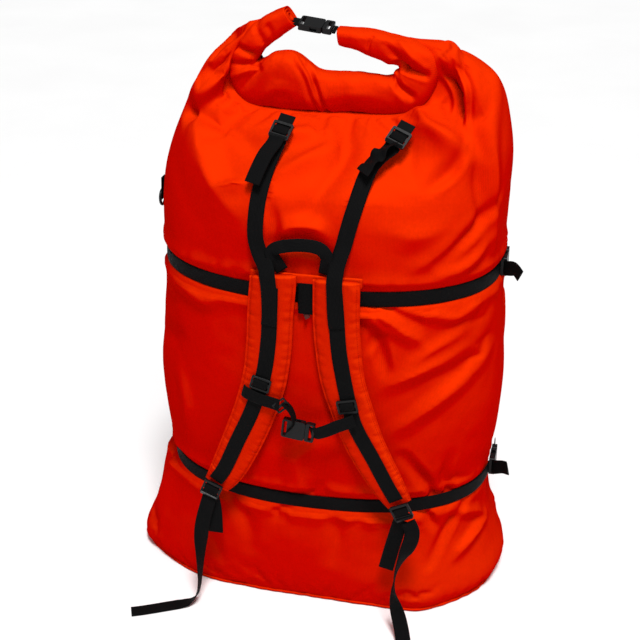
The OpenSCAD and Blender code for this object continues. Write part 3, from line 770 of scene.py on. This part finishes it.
def hold_under_belts(grid):
    """Keeps the fabric inside both belts and lets it swell back above and below them."""
    for z, a, b, _ in BELTS.values():
        q = (np.abs(grid[..., 0] / a) ** BELT_POWER + np.abs(grid[..., 1] / b) ** BELT_POWER) ** (1 / BELT_POWER)
        off = np.clip((np.abs(grid[..., 2] - z) - WEB / 2) / 0.012, 0, 1)
        k = np.minimum(1, (1 - 0.001 + 0.028 * off**0.6 + 9 * (off >= 1)) / q)
        grid[..., 0] *= k
        grid[..., 1] *= k


hold_under_belts(bag)
FLOOR_GAP = 3.5 * MM  # the shell's lowest edge, where the base panel's rim takes over

# Corrections of the outline, such as the point at the base's front left corner and the fullness under the lifter
# straps: middle, reach, power of the falloff, shift.
SHAPE_PULLS = [
    ((-0.325, -0.095, 0.004), 0.055, 1.0, (-0.042, -0.013, -0.004)),
    ((-0.285, -0.020, 0.160), 0.050, 2.0, (-0.012, 0.0, 0.0)),
    ((-0.280, 0.000, 0.808), 0.080, 2.0, (0.015, 0.0, 0.0)),
    ((-0.300, 0.000, 0.420), 0.130, 2.0, (0.005, 0.0, 0.0)),
    ((0.300, 0.000, 0.400), 0.130, 2.0, (-0.009, 0.0, 0.0)),
    ((0.270, -0.020, 0.790), 0.070, 2.0, (0.010, 0.0, 0.0)),
    ((0.200, -0.170, 0.010), 0.070, 2.0, (0.007, -0.022, -0.002)),
    ((-0.215, -0.165, 0.010), 0.110, 2.0, (-0.006, -0.018, 0.0)),
    ((0.020, -0.190, 0.010), 0.160, 2.0, (0.0, -0.006, 0.0)),
    ((0.150, -0.190, 0.010), 0.090, 2.0, (0.0, -0.008, 0.0)),
    ((0.330, 0.000, 0.060), 0.160, 2.0, (-0.021, 0.0, 0.0)),
    ((0.262, 0.000, 0.880), 0.050, 2.0, (0.006, 0.0, 0.008)),
    ((0.270, -0.110, 0.010), 0.060, 2.0, (0.010, -0.006, 0.0)),
    ((-0.300, -0.050, 0.120), 0.060, 2.0, (-0.008, 0.0, 0.0)),
    ((-0.077, -0.180, 0.735), 0.055, 2.0, (0.0, -0.009, 0.003)),
    ((0.070, -0.180, 0.735), 0.055, 2.0, (0.0, -0.009, 0.003)),
]
for middle, size, power, shift in SHAPE_PULLS:
    pull = np.exp(-(np.linalg.norm(bag - np.array(middle), axis=-1) / size) ** power)
    bag += pull[..., None] * np.array(shift)
hold_under_belts(bag)
bag[..., 2] = np.maximum(bag[..., 2], FLOOR_GAP)


def settle(grid, pinned, slack, pressure, limit, frames=20):
    """Runs the grid as slightly wide cloth under pressure, and returns how far each point moved, up to a limit."""
    rows, cols = grid.shape[:2]
    obj = mesh_object("settling", grid, grid_faces(rows, cols, True), shell_fabric)
    group = obj.vertex_groups.new(name="pinned")
    for i, weight in enumerate(pinned.ravel()):
        if weight > 0:
            group.add([i], float(weight), "REPLACE")
    cloth = obj.modifiers.new("cloth", "CLOTH")
    c = cloth.settings
    c.quality = 6
    c.mass = 0.25
    c.tension_stiffness = c.compression_stiffness = 20
    c.shear_stiffness = 6
    c.bending_stiffness = 0.6
    c.tension_damping = c.compression_damping = c.shear_damping = 8
    c.vertex_group_mass = "pinned"
    c.pin_stiffness = 1
    c.shrink_min = -slack
    c.use_pressure = True
    c.uniform_pressure_force = pressure
    c.effector_weights.gravity = 0
    cloth.point_cache.frame_start = 1
    cloth.point_cache.frame_end = frames + 1
    scene = bpy.context.scene
    for f in range(1, frames + 1):
        scene.frame_set(f)
    done = obj.evaluated_get(bpy.context.evaluated_depsgraph_get())
    co = np.zeros(rows * cols * 3)
    done.data.vertices.foreach_get("co", co)
    moved = co.reshape(grid.shape) - grid
    scene.frame_set(1)
    bpy.data.objects.remove(obj)
    far = np.maximum(np.linalg.norm(moved, axis=-1, keepdims=True), 1e-9)
    return moved * limit / far * np.tanh(far / limit)


def refined(coarse, rows, cols):
    """A coarse field over the rings, interpolated smoothly to the fine grid."""
    r = np.linspace(0, coarse.shape[0] - 1, rows)
    c = np.arange(cols) / cols * coarse.shape[1]
    i, j = np.minimum(r.astype(int), coarse.shape[0] - 2), c.astype(int)
    u, v = ease(r - i)[:, None, None] * 0.5 + (r - i)[:, None, None] * 0.5, (c - j)[None, :, None]
    k = (j + 1) % coarse.shape[1]
    a, b = coarse[i][:, j], coarse[i][:, k]
    d, e = coarse[i + 1][:, j], coarse[i + 1][:, k]
    return (a * (1 - v) + b * v) * (1 - u) + (d * (1 - v) + e * v) * u


SWELL = 4.5 * MM  # furthest that the settled fabric stands proud of where it was
pick = np.unique(np.round(np.linspace(0, len(bag) - 1, 134)).astype(int))
coarse = bag[pick, ::2]
hold = np.zeros(coarse.shape[:2])
hold[:2] = 1
hold[-5:] = 1
for z, _, _, _ in BELTS.values():
    hold = np.maximum(hold, (np.abs(coarse[..., 2] - z) < 0.015) * 1.0)
shift = settle(coarse, hold, slack=0.055, pressure=1.6, limit=16 * MM)
out = grid_normals(coarse)
proud = np.sum(shift * out, -1, keepdims=True)
shift -= out * (proud - np.minimum(proud, SWELL * np.tanh(proud / SWELL)))
bag = bag + refined(shift, len(bag), COLS)
hold_under_belts(bag)
bag[..., 2] = np.maximum(bag[..., 2], FLOOR_GAP)


def press(grid, path, half, clear):
    """Keeps the front fabric a clearance behind a strap that lies on it, rising again at both edges."""
    reach = half + 12 * MM
    for x, y, z in evenly(np.asarray(path, float), 0.004):
        near = (np.abs(grid[..., 2] - z) < 0.005) & (np.abs(grid[..., 0] - x) < reach) & (grid[..., 1] < 0)
        slope = np.maximum(np.abs(grid[..., 0] - x) - half, 0) * 0.5
        grid[..., 1] = np.where(near, np.maximum(grid[..., 1], y + clear - slope), grid[..., 1])


for strap in (LEFT_LIFTER, RIGHT_LIFTER):
    press(bag, smooth(strap[:7], 8), 14 * MM, 2.2 * MM)
for line in (LEFT_PAD, RIGHT_PAD):
    press(bag, [(x, PAD_Y + PAD_HALF + MM, z) for x, z in [(line[0][0], 0.645), *line]], 37 * MM, 0)
press(bag, HAUL[3:7], 12 * MM, 3 * MM)

shell_weave = np.stack([across_grid, up_grid, np.zeros_like(across_grid)], -1)
shell = mesh_object("bag_shell", bag, grid_faces(*bag.shape[:2], True), shell_fabric, shell_weave.reshape(-1, 3))
finish_piece(shell, "bag", "shell_fabric", "body_tube", "collar")

# Packed contents: a slightly smaller filling that keeps the shell in shape.
CORE_DEPTH = 22 * MM
inner_rows = slice(2, BODY_ROWS - 4, 6)
core = bag[inner_rows, ::5] - grid_normals(bag)[inner_rows, ::5] * CORE_DEPTH
n_rows, n_cols = core.shape[:2]
core_faces = grid_faces(n_rows, n_cols, True).tolist()
core_faces += [list(range(n_cols))[::-1], [(n_rows - 1) * n_cols + k for k in range(n_cols)]]
contents = outward(mesh_object("contents", core, core_faces, filling))
finish_piece(contents, "bag", "contents", "packed_contents")

# Base panel and the welted seam around it.
rim = bag[0].copy()
panel_rows = []
for share, z in ((1.0, 0.0036), (0.985, 0.0012), (0.95, 0.0), (0.7, 0.0006), (0.4, 0.0012), (0.15, 0.0012)):
    p = rim * [share, share, 0]
    p[:, 2] = z + (0.0006 * waves(p[:, 0], p[:, 1], 0.12, 4) if share < 0.9 else 0)
    panel_rows.append(p)
panel = np.array(panel_rows)
panel[..., 2] = np.maximum(panel[..., 2], 0)
panel_faces = grid_faces(len(panel), COLS, True).tolist() + [[(len(panel) - 1) * COLS + k for k in range(COLS)]]
base_weave = np.stack([panel[..., 0], panel[..., 1], panel[..., 2]], -1).reshape(-1, 3)
base = mesh_object("base_sheet", panel, panel_faces, shell_fabric, base_weave)
finish_piece(base, "bag", "shell_fabric", "base_panel")


def loop_tube(name, path, radius, material, sides=10):
    """A round tube along a closed line."""
    n = len(path)
    along = unit(np.roll(path, -1, 0) - np.roll(path, 1, 0))
    side = unit(np.cross(along, (0, 0, 1.0)))
    up = np.cross(side, along)
    t = np.arange(sides) / sides * TAU
    rings = path[:, None] + radius * (
        np.cos(t)[None, :, None] * side[:, None] + np.sin(t)[None, :, None] * up[:, None])
    faces = grid_faces(n + 1, sides, True) % (n * sides)
    weave = np.zeros((n, sides, 3))
    weave[..., 0] = t[None] * radius
    weave[..., 1] = lengths(path)[:, None]
    return outward(mesh_object(name, rings, faces, material, weave.reshape(-1, 3)))


welt_line = rim + grid_normals(bag)[0] * [1, 1, 0] * 0.0012
welt_line[:, 2] = 3.6 * MM + 0.6 * MM * waves(girth, girth * 0, 0.09, 8)
welt = loop_tube("base_piping", welt_line, 2.1 * MM, shell_fabric)
finish_piece(welt, "bag", "shell_fabric", "base_welt")

# ---------------------------------------------------------------- rolled mouth

# Stations round the roll: inner edge X and Z, outer edge X and Z, middle in Y, half thickness in Y.
ROLL = [
    (-0.057, 0.964, -0.076, 0.992, -0.021, 0.020), (-0.084, 0.945, -0.108, 0.977, -0.023, 0.023),
    (-0.107, 0.926, -0.140, 0.951, -0.026, 0.026), (-0.116, 0.913, -0.163, 0.915, -0.026, 0.026),
    (-0.118, 0.908, -0.160, 0.868, -0.027, 0.027), (-0.109, 0.912, -0.132, 0.838, -0.031, 0.027),
    (-0.088, 0.924, -0.094, 0.836, -0.033, 0.030), (-0.060, 0.925, -0.060, 0.835, -0.034, 0.031),
    (-0.036, 0.910, -0.030, 0.835, -0.034, 0.029), (-0.014, 0.898, -0.004, 0.835, -0.031, 0.026),
    (0.040, 0.898, 0.040, 0.836, -0.031, 0.025), (0.092, 0.896, 0.092, 0.836, -0.032, 0.026),
    (0.100, 0.904, 0.138, 0.843, -0.031, 0.026), (0.106, 0.907, 0.166, 0.884, -0.027, 0.027),
    (0.106, 0.911, 0.164, 0.928, -0.026, 0.026),
    (0.100, 0.914, 0.134, 0.950, -0.026, 0.026), (0.088, 0.916, 0.100, 0.957, -0.025, 0.025),
    (0.064, 0.924, 0.076, 0.962, -0.024, 0.024), (0.040, 0.932, 0.046, 0.965, -0.023, 0.023),
    (0.013, 0.938, 0.009, 0.965, -0.021, 0.021),
]
ROLL_SIDES = 84


def roll_surface():
    s = smooth(ROLL, 14)
    inner = np.stack([s[:, 0], s[:, 4], s[:, 1]], 1)
    outer = np.stack([s[:, 2], s[:, 4], s[:, 3]], 1)
    mid, half = (inner + outer) / 2, (outer - inner) / 2
    t = (np.arange(ROLL_SIDES) + 0.5) / ROLL_SIDES * TAU
    c = np.sign(np.cos(t)) * np.abs(np.cos(t)) ** 0.66
    k = np.sign(np.sin(t)) * np.abs(np.sin(t)) ** 0.7
    g = mid[:, None] + half[:, None] * c[None, :, None]
    g[..., 1] += s[:, 5][:, None] * k[None, :]
    return g, mid, half


roll, roll_mid, roll_half = roll_surface()
roll_normals = -grid_normals(roll)
if np.mean(np.einsum("ijk,ijk->ij", roll_normals, roll - roll_mid[:, None])) < 0:
    roll_normals = -roll_normals
roll_flat = roll.reshape(-1, 3)

# Folds of the roll's front in X and Z, in mm as for the bag, without its gain.
ROLL_FOLDS = [
    ([(-150, 935), (-128, 925), (-112, 918)], [-6, -9, -6], 9, 9),
    ([(-160, 905), (-138, 905), (-118, 908)], [-3, -6, -6], 7, 8),
    ([(-156, 884), (-138, 893), (-122, 902)], [4, 5, 2], 8, 8),
    ([(-138, 868), (-124, 886), (-112, 900)], [-2, -5, -5], 8, 10),
    ([(-104, 940), (-116, 960), (-122, 972)], [-4, -5, -3], 7, 14),
    ([(-90, 950), (-98, 966)], [-2, -3], 8, 8),
    ([(-50, 918), (-34, 896), (-22, 866), (-12, 838)], [5, 9, 9, 5], 40, 6),
    ([(-34, 910), (-22, 884), (-12, 860), (-2, 838)], [-6, -10, -9, -5], 6, 20),
    ([(-100, 862), (-80, 876), (-62, 880)], [2, 5, 2], 12, 18),
    ([(-10, 862), (50, 868), (100, 866)], [3, 5, 1], 22, 30),
    ([(100, 900), (112, 884), (130, 872)], [-6, -10, -6], 9, 9),
    ([(104, 914), (124, 912), (150, 905)], [-8, -12, -8], 9, 9),
    ([(88, 948), (106, 930), (116, 914)], [-2, -6, -8], 8, 10),
    ([(110, 954), (128, 934), (150, 918)], [3, 6, 3], 9, 12),
    ([(60, 930), (62, 948), (66, 960)], [-2, -3, -2], 3, 3),
    ([(120, 850), (118, 868), (108, 880)], [2, 4, 1], 12, 12),
]
roll_lift = np.zeros(roll.shape[:2])
for line, heights, left, right in ROLL_FOLDS:
    rows = []
    for x, z in np.array(line) * MM:
        d = (roll_flat[:, 0] - x) ** 2 + (roll_flat[:, 2] - z) ** 2 + 0.3 * (roll_flat[:, 1] + 0.055) ** 2
        rows.append(roll_flat[np.argmin(d)])
    rows = densify(np.array(rows), np.array(heights) * MM, 6 * MM)
    roll_lift += fold(roll, roll_normals, rows[:, :3], rows[:, 3], left * MM, right * MM, 1.5 * MM)
roll_along = np.broadcast_to(lengths(roll_mid)[:, None], roll.shape[:2])
roll_round = np.broadcast_to((np.arange(ROLL_SIDES) / ROLL_SIDES * 0.2)[None, :], roll.shape[:2])
roll_lift += 0.0012 * waves(roll_along, roll_round, 0.05, 17, 3)
roll_ends = np.minimum(1, np.minimum(lengths(roll_mid), lengths(roll_mid)[-1] - lengths(roll_mid)) / 0.02)
roll = roll + roll_normals * (roll_lift * roll_ends[:, None])[..., None]

# Each end shows the layers of the rolled fabric.
caps = []
for end, inward in ((0, 1), (-1, -1)):
    middle = roll[end].mean(0)
    axis = unit(roll[end + inward * 3].mean(0) - middle)
    rows = []
    for scale, depth in ((0.93, -0.0006), (0.86, 0.003), (0.80, 0.0036), (0.74, 0.0004), (0.62, 0.0), (0.56, 0.004),
                         (0.50, 0.004), (0.44, 0.0008), (0.28, 0.0006), (0.22, 0.004), (0.1, 0.005)):
        rows.append(middle + (roll[end] - middle) * scale + axis * depth)
    caps.append(np.array(rows))
roll_all = np.concatenate([caps[0][::-1], roll, caps[1]])
roll_faces = grid_faces(len(roll_all), ROLL_SIDES, True).tolist()
last_ring = (len(roll_all) - 1) * ROLL_SIDES
roll_faces += [list(range(ROLL_SIDES)), [last_ring + k for k in reversed(range(ROLL_SIDES))]]
t_all = lengths(roll_all.mean(1))
roll_weave = np.zeros(roll_all.shape)
roll_weave[..., 0] = t_all[:, None]
roll_weave[..., 1] = (np.arange(ROLL_SIDES) / ROLL_SIDES * 0.2)[None, :]
roll_obj = outward(mesh_object("rolled_top", roll_all, roll_faces, shell_fabric, roll_weave.reshape(-1, 3)))
finish_piece(roll_obj, "bag", "shell_fabric", "rolled_mouth")

# ---------------------------------------------------------------- moulded hardware


def refine(node, bevel=0.6 * MM, material=plastic):
    """The CAD part with its sharp edges rounded, as it comes out of a mould."""
    source = frame["nodes"][node]
    mesh = source.data.copy()
    mesh.name = node + "_moulding"
    b = bmesh.new()
    b.from_mesh(mesh)
    bmesh.ops.remove_doubles(b, verts=b.verts, dist=1e-6)
    bmesh.ops.dissolve_limit(b, angle_limit=math.radians(2), verts=b.verts, edges=b.edges)
    b.to_mesh(mesh)
    b.free()
    mesh.shade_smooth()
    mesh.materials.clear()
    mesh.materials.append(material)
    obj = bpy.data.objects.new(node + "_moulding", mesh)
    bpy.context.scene.collection.objects.link(obj)
    m = obj.modifiers.new("rounding", "BEVEL")
    m.width = bevel
    m.segments = 3
    m.limit_method = "ANGLE"
    m.angle_limit = math.radians(35)
    m.use_clamp_overlap = True
    w = obj.modifiers.new("normals", "WEIGHTED_NORMAL")
    w.keep_sharp = False
    bpy.context.view_layer.objects.active = obj
    obj.select_set(True)
    for name in ("rounding", "normals"):
        bpy.ops.object.modifier_apply(modifier=name)
    obj.select_set(False)
    return obj


node_body = {n: body for body, members in frame["record"]["behaviour"]["bodies"].items() for n in members}
HARDWARE = [
    "roll_buckle_socket", "roll_buckle_plug", "upper_belt_socket", "upper_belt_plug", "lower_belt_socket",
    "lower_belt_plug", "left_lifter_buckle", "right_lifter_buckle", "left_ladder_lock", "right_ladder_lock",
    "left_slider", "right_slider", "sternum_socket", "sternum_plug", "side_ring",
]
for node in HARDWARE:
    finish_piece(refine(node), node_body[node], "hardware", node)


def moved_copy(node, name, scale, turn, place):
    """A moulding with the shape of a CAD node, made smaller, turned in the XZ plane and put elsewhere."""
    obj = refine(node)
    obj.name = name
    low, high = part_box(node)
    middle = np.array((low + high) / 2)
    co = np.zeros(len(obj.data.vertices) * 3)
    obj.data.vertices.foreach_get("co", co)
    co = (co.reshape(-1, 3) - middle) * scale
    c, k = math.cos(math.radians(turn)), math.sin(math.radians(turn))
    co = np.stack([co[:, 0] * c - co[:, 2] * k, co[:, 1], co[:, 0] * k + co[:, 2] * c], 1) + place
    obj.data.vertices.foreach_set("co", co.ravel())
    obj.data.update()
    return obj


adjuster_place = (-0.035, OVER_WEB_Y - 7 * MM, 0.4095)
adjuster = moved_copy("left_slider", "sternum_adjuster_moulding", 0.78, 58, adjuster_place)
finish_piece(adjuster, "sternum", "hardware", "sternum_adjuster")


def wrap(name, at, along, out, body):
    """Webbing that comes up through a frame, over its middle bar and down again."""
    reach, lift = 10.5 * MM, 4.8 * MM
    a, o = unit(np.array(along, float)), np.array(out, float)
    o = unit(o - a * np.dot(o, a))
    across = np.cross(a, o)
    at = np.array(at, float)
    line = smooth([at + a * u + o * v for u, v in (
        (reach, 0.0002), (reach * 0.62, 0.0016), (reach * 0.42, lift), (-reach * 0.42, lift), (-reach * 0.62, 0.0016),
        (-reach, 0.0002))], 5)
    return finish_piece(band(name, line, across, WEB - MM, WEB_THICK), body, "webbing")


for name, at, along, out, body in (
    ("left_lock_wrap", (-0.159, -0.2325, 0.230), (0.42, 0, 1), (0, -1, 0), "left_ladder"),
    ("right_lock_wrap", (0.163, -0.2325, 0.232), (-0.5, 0, 1), (0, -1, 0), "right_ladder"),
    ("left_lifter_wrap", (-0.057, -0.129, 0.827), (0.25, 0.72, 0.72), (0, -0.72, 0.7), "left_lifter_buckle"),
    ("right_lifter_wrap", (0.124, -0.128, 0.828), (0.45, 0.7, 0.7), (0, -0.72, 0.7), "right_lifter_buckle"),
    ("left_slider_wrap", (-0.070, OVER_WEB_Y, 0.441), (0.28, 0, 1), (0, -1, 0), "sternum"),
    ("right_slider_wrap", (0.071, OVER_WEB_Y, 0.417), (-0.24, 0, 1), (0, -1, 0), "sternum"),
):
    wrap(name, at, along, out, body)

# ---------------------------------------------------------------- compression belts


def belt(name, z, a, b, node, seed):
    """A belt's webbing round the bag, from behind its buckle on the right to in front of it."""
    t = np.linspace(0, TAU, 2400)
    s, c = np.sin(t), np.cos(t)
    off = 0.0005 + WEB_THICK / 2
    x = (a + off) * np.sign(c) * np.abs(c) ** (2 / BELT_POWER)
    y = (b + off) * np.sign(s) * np.abs(s) ** (2 / BELT_POWER)
    line = np.stack([x, y, np.full_like(x, z)], 1)
    right = x > 0.2
    start = np.argmax((y > 0.050) & right)
    stop = len(t) - 1 - np.argmax(((y < -0.027) & right)[::-1])
    line = evenly(line[start:stop + 1], 0.004)
    d = lengths(line)
    line[:, 2] += 0.0011 * waves(d, d * 0, 0.3, seed)
    tilt = 0.05 * waves(d, d * 0, 0.16, seed + 1)
    out = unit(np.stack([line[:, 0] / a**2, line[:, 1] / b**2, 0 * d], 1))
    up = np.array([0, 0, 1.0]) + out * tilt[:, None]
    finish_piece(band(name, line, up, WEB, WEB_THICK, flutter=0.0002, seed=seed), "bag", "webbing", node)


for name, (z, a, b, _) in BELTS.items():
    belt(name + "_belt_strap", z, a, b, name + "_belt", 30 if name == "lower" else 34)
    rise = (0.003, 0.009, 0.015, 0.020) if name == "lower" else (0.001, 0.004, 0.007, 0.000)
    tail = smooth([(a + 0.006, -0.024, z), (a + 0.009, -0.032, z + rise[0]), (a + 0.016, -0.040, z + rise[1]),
                   (a + 0.026, -0.048, z + rise[2]), (a + 0.036, -0.058, z + rise[3])], 6)
    turn = ease(np.linspace(0, 1.0, len(tail)))[:, None]
    wide = (1 - turn) * np.array([0, 0, 1.0]) + turn * np.array([0.25, -0.3, 0.95])
    obj = band(name + "_belt_free_end", tail, wide, WEB, WEB_THICK, flutter=0.0006, seed=41)
    finish_piece(obj, "bag", "webbing", name + "_belt_tail")
    y = np.linspace(0.0262, 0.052, 12)
    face = a + 0.0011 + 0.004
    link = np.stack([np.full_like(y, face) - 0.0012 * (y - 0.026) / 0.026, y, np.full_like(y, z)], 1)
    obj = band(name + "_belt_link_strap", link, (0, 0, 1), WEB, WEB_THICK)
    finish_piece(obj, name + "_belt_plug", "webbing", name + "_belt_link")

# ---------------------------------------------------------------- ring on the side

tab = [(-0.2824, 0.706), (-0.283, 0.69), (-0.2838, 0.674), (-0.2875, 0.6655), (-0.2905, 0.671), (-0.2872, 0.6785),
       (-0.2862, 0.69), (-0.2856, 0.704)]
tab = smooth([(x, -0.036, z) for x, z in tab], 6)
obj = band("side_tab_strap", tab, (0, 1, 0), 0.018, 0.0018)
finish_piece(obj, "bag", "webbing", "side_tab")

# ---------------------------------------------------------------- harness: yoke, pads and webbing

def pad_profile(s, front):
    """Height over the pad's middle plane across its width, with its thin flange and the groove at its seam."""
    edge = 1.3 * MM
    body = edge + (PAD_HALF - edge) * np.sqrt(np.clip(1 - (np.abs(s) / PAD_FLANGE) ** 6, 0, 1))
    beyond = (np.abs(s) - PAD_FLANGE) / (1 - PAD_FLANGE)
    flange = np.where(beyond > 0, edge * np.sqrt(np.clip(1 - beyond**4, 0, 1)), 0)
    groove = 1.1 * MM * np.exp(-(((np.abs(s) - PAD_SEAM) / 0.02) ** 2)) * (1 if front else 0.3)
    return np.maximum(body, flange) - groove


def pad(name, line, side):
    """A pad's cover and the lines of its two seams."""
    rows = np.vstack([[line[0][0], 0.6265, 1], np.column_stack([line, PAD_WIDTHS])])
    rows = evenly(smooth(rows, 12), 3 * MM)
    n = len(rows)
    centre = np.stack([rows[:, 0], np.full(n, PAD_Y), rows[:, 1]], 1)
    along = unit(np.gradient(centre, axis=0))
    w = unit(np.cross(along, (0, -1, 0)))
    w *= np.sign(w[:, :1])
    half = PAD_W / 2 * rows[:, 2]
    cols = 34
    s = np.sin(np.linspace(-1, 1, cols + 1) * math.pi / 2 * 0.96) / math.sin(math.pi / 2 * 0.96)
    d = lengths(centre)
    dd, sg = d[:, None], s[None, :]
    pinch = np.exp(-(((np.abs(sg) - 0.8) / 0.2) ** 2))
    pucker = waves(dd, sg * 0.012, 0.017, 51 if side < 0 else 57, 2) * pinch
    pucker = np.where(pucker < 0, pucker * 1.5, pucker * 0.5)
    soft = waves(dd, sg * 0.05, 0.09, 61 if side < 0 else 67, 2)
    front = pad_profile(s, True)[None] + 1.9 * MM * pucker + 0.6 * MM * soft
    back = pad_profile(s, False)[None] + 0.4 * MM * soft
    taper = np.minimum(1, 0.35 + 0.65 * np.clip((d[-1] - d) / 0.03, 0, 1))[:, None]
    wobble = 1.007 + 0.007 * waves(d, d * 0, 0.05, 71 if side < 0 else 73)
    mid = centre[:, None] + w[:, None] * (half * wobble)[:, None, None] * s[None, :, None]
    top = mid - np.array([0, 1, 0]) * (front * taper)[..., None]
    low = mid + np.array([0, 1, 0]) * (back * taper)[..., None]
    rings = np.concatenate([top, low[:, ::-1]], 1)
    faces = grid_faces(n, rings.shape[1], True).tolist() + end_faces(n, cols)
    weave = np.zeros(rings.shape)
    weave[..., 0] = np.concatenate([s, s[::-1]])[None] * half[:, None]
    weave[..., 1] = d[:, None]
    obj = outward(mesh_object(name, rings, faces, pad_fabric, weave.reshape(-1, 3)))
    seams = [top[3:-6, np.argmin(np.abs(s - sign * PAD_SEAM))] - np.array([0, 0.1 * MM, 0]) for sign in (-1, 1)]
    return obj, seams


for side, line, node, body in ((-1, LEFT_PAD, "left_pad", "left_strap"),
                               (1, RIGHT_PAD, "right_pad", "right_strap")):
    obj, seams = pad(node + "_cover", line, side)
    thread = stitches(node + "_topstitch", seams, (0, -1, 0), red_thread)
    finish_blend(obj, body, line[0][0], "pad_fabric", node)
    finish_blend(thread, body, line[0][0], "pad_fabric")

foams = {"left_pad_foam": pad_foam, "right_pad_foam": pad_foam, "stiffener_strip": stiffener}
for node, material in foams.items():
    frame["nodes"][node].data.materials.clear()
    frame["nodes"][node].data.materials.append(material)

# Yoke: the folded panel that joins both pads to the bag.
x = np.linspace(-0.088, 0.088, 60)
y = -0.2105 - 0.0025 * (1 - (x / 0.088) ** 2)
yoke_line = np.stack([x, y, 0.6215 + 0.0008 * waves(x, x * 0, 0.08, 81)], 1)
yoke = band("yoke_fold", yoke_line, (0, 0, 1), 0.016, 0.004, pad_fabric, cols=8, flutter=0.0003)
finish_piece(yoke, "bag", "pad_fabric", "yoke_panel")

patch = smooth([(0, -0.2135, 0.625), (0, -0.214, 0.600), (0.0005, -0.2138, 0.563)], 8)
finish_piece(band("centre_patch_strap", patch, (1, 0, 0), WEB, WEB_THICK), "bag", "webbing", "centre_patch")

# Webbing sewn along the pads, lying a little into them.
for side, line, node, body in ((-1, LEFT_WEB, "left_pad_webbing", "left_strap"),
                               (1, RIGHT_WEB, "right_pad_webbing", "right_strap")):
    p = evenly(smooth([(x, PAD_WEB_Y, z) for x, z in line], 8), 4 * MM)
    obj = band(node + "_strap", p, (1, 0, 0.0), WEB, WEB_THICK, flutter=0.00025, seed=90 + side)
    finish_piece(obj, body, "webbing", node)

# Lifter straps: from the buckles down the bag's front, over the yoke, and on down the pads.
for side, line, node, body in ((-1, LEFT_LIFTER, "left_lifter_strap", "left_strap"),
                               (1, RIGHT_LIFTER, "right_lifter_strap", "right_strap")):
    p = evenly(smooth(line, 10), 0.004)
    obj = band(node + "_webbing", p, (1, 0, 0), WEB, WEB_THICK, flutter=0.0004, seed=100 + side)
    finish_blend(obj, body, line[7][0], "webbing", node)

p = smooth([(-0.0605, -0.1405, 0.8225), (-0.063, -0.149, 0.815), (-0.072, -0.169, 0.802), (-0.080, -0.185, 0.783),
            (-0.086, -0.198, 0.765)], 8)
obj = band("left_lifter_free_end", p, (1, -0.25, -0.2), WEB, WEB_THICK, flutter=0.0005, seed=112)
finish_piece(obj, "bag", "webbing", "left_lifter_tail")
p = smooth([(0.1175, -0.1405, 0.8235), (0.112, -0.149, 0.822), (0.104, -0.160, 0.818), (0.096, -0.166, 0.806),
            (0.088, -0.177, 0.800), (0.080, -0.184, 0.790)], 8)
obj = band("right_lifter_free_end", p, (1, 0, 0.5), WEB, WEB_THICK, flutter=0.0008, seed=113)
finish_piece(obj, "bag", "webbing", "right_lifter_tail")

# Haul handle with its sewn legs.
p = evenly(smooth(HAUL, 10), 0.003)
obj = band("haul_handle_strap", p, np.cross(unit(np.gradient(p, axis=0)), (0, -0.9, 0.35)), 0.020, 0.0024,
           flutter=0.0003, seed=120)
finish_piece(obj, "haul_handle", "webbing", "haul_handle")

# Sternum strap.
y = OVER_WEB_Y
p = smooth([(-0.100, y + 0.001, 0.426), (-0.095, y - 0.003, 0.4245), (-0.084, y - 0.0045, 0.420),
            (-0.070, y - 0.005, 0.415), (-0.052, y - 0.0055, 0.4115), (-0.038, y - 0.0085, 0.410)], 8)
obj = band("left_sternum_strap", p, (0.28, 0, 1), 0.021, WEB_THICK, flutter=0.0004, seed=130)
finish_piece(obj, "sternum", "webbing", "left_sternum_webbing")
p = smooth([(-0.030, y - 0.004, 0.412), (-0.019, y - 0.010, 0.405), (-0.013, y - 0.012, 0.392),
            (-0.014, y - 0.012, 0.378), (-0.024, y - 0.010, 0.366)], 8)
obj = band("sternum_hanging_strap", p, (0.1, 1, 0), 0.018, WEB_THICK, seed=132)
finish_piece(obj, "sternum", "webbing")
y = OVER_WEB_Y - 14 * MM
p = smooth([(0.013, y + 0.008, 0.367), (0.023, y + 0.002, 0.368), (0.040, y, 0.376), (0.056, y + 0.001, 0.385),
            (0.072, y + 0.0035, 0.392), (0.084, y + 0.008, 0.396)], 8)
obj = band("right_sternum_strap", p, (-0.42, 0, 1), 0.021, WEB_THICK, flutter=0.0004, seed=131)
finish_piece(obj, "sternum", "webbing", "right_sternum_webbing")

# Short tails at the ladder-locks.
for side, line, body, node in (
    (-1, [(-0.160, -0.229, 0.212), (-0.157, -0.2285, 0.190), (-0.156, -0.2285, 0.165), (-0.156, -0.229, 0.140)],
     "left_ladder", "left_short_tail"),
    (1, [(0.162, -0.229, 0.213), (0.155, -0.2285, 0.185), (0.147, -0.2285, 0.150), (0.139, -0.229, 0.112)],
     "right_ladder", "right_short_tail"),
):
    p = evenly(smooth(line, 8), 4 * MM)
    obj = band(node + "_strap", p, (1, 0, 0), WEB, WEB_THICK, flutter=0.0004, seed=140 + side)
    finish_piece(obj, body, "webbing", node)

# Sewn tabs that hold the lifter buckles and the mouth buckle.
for node in ("left_lifter_anchor", "right_lifter_anchor", "left_roll_tab", "right_roll_tab"):
    finish_piece(refine(node, 0.3 * MM, webbing), node_body[node], "webbing", node)

bpy.context.view_layer.update()
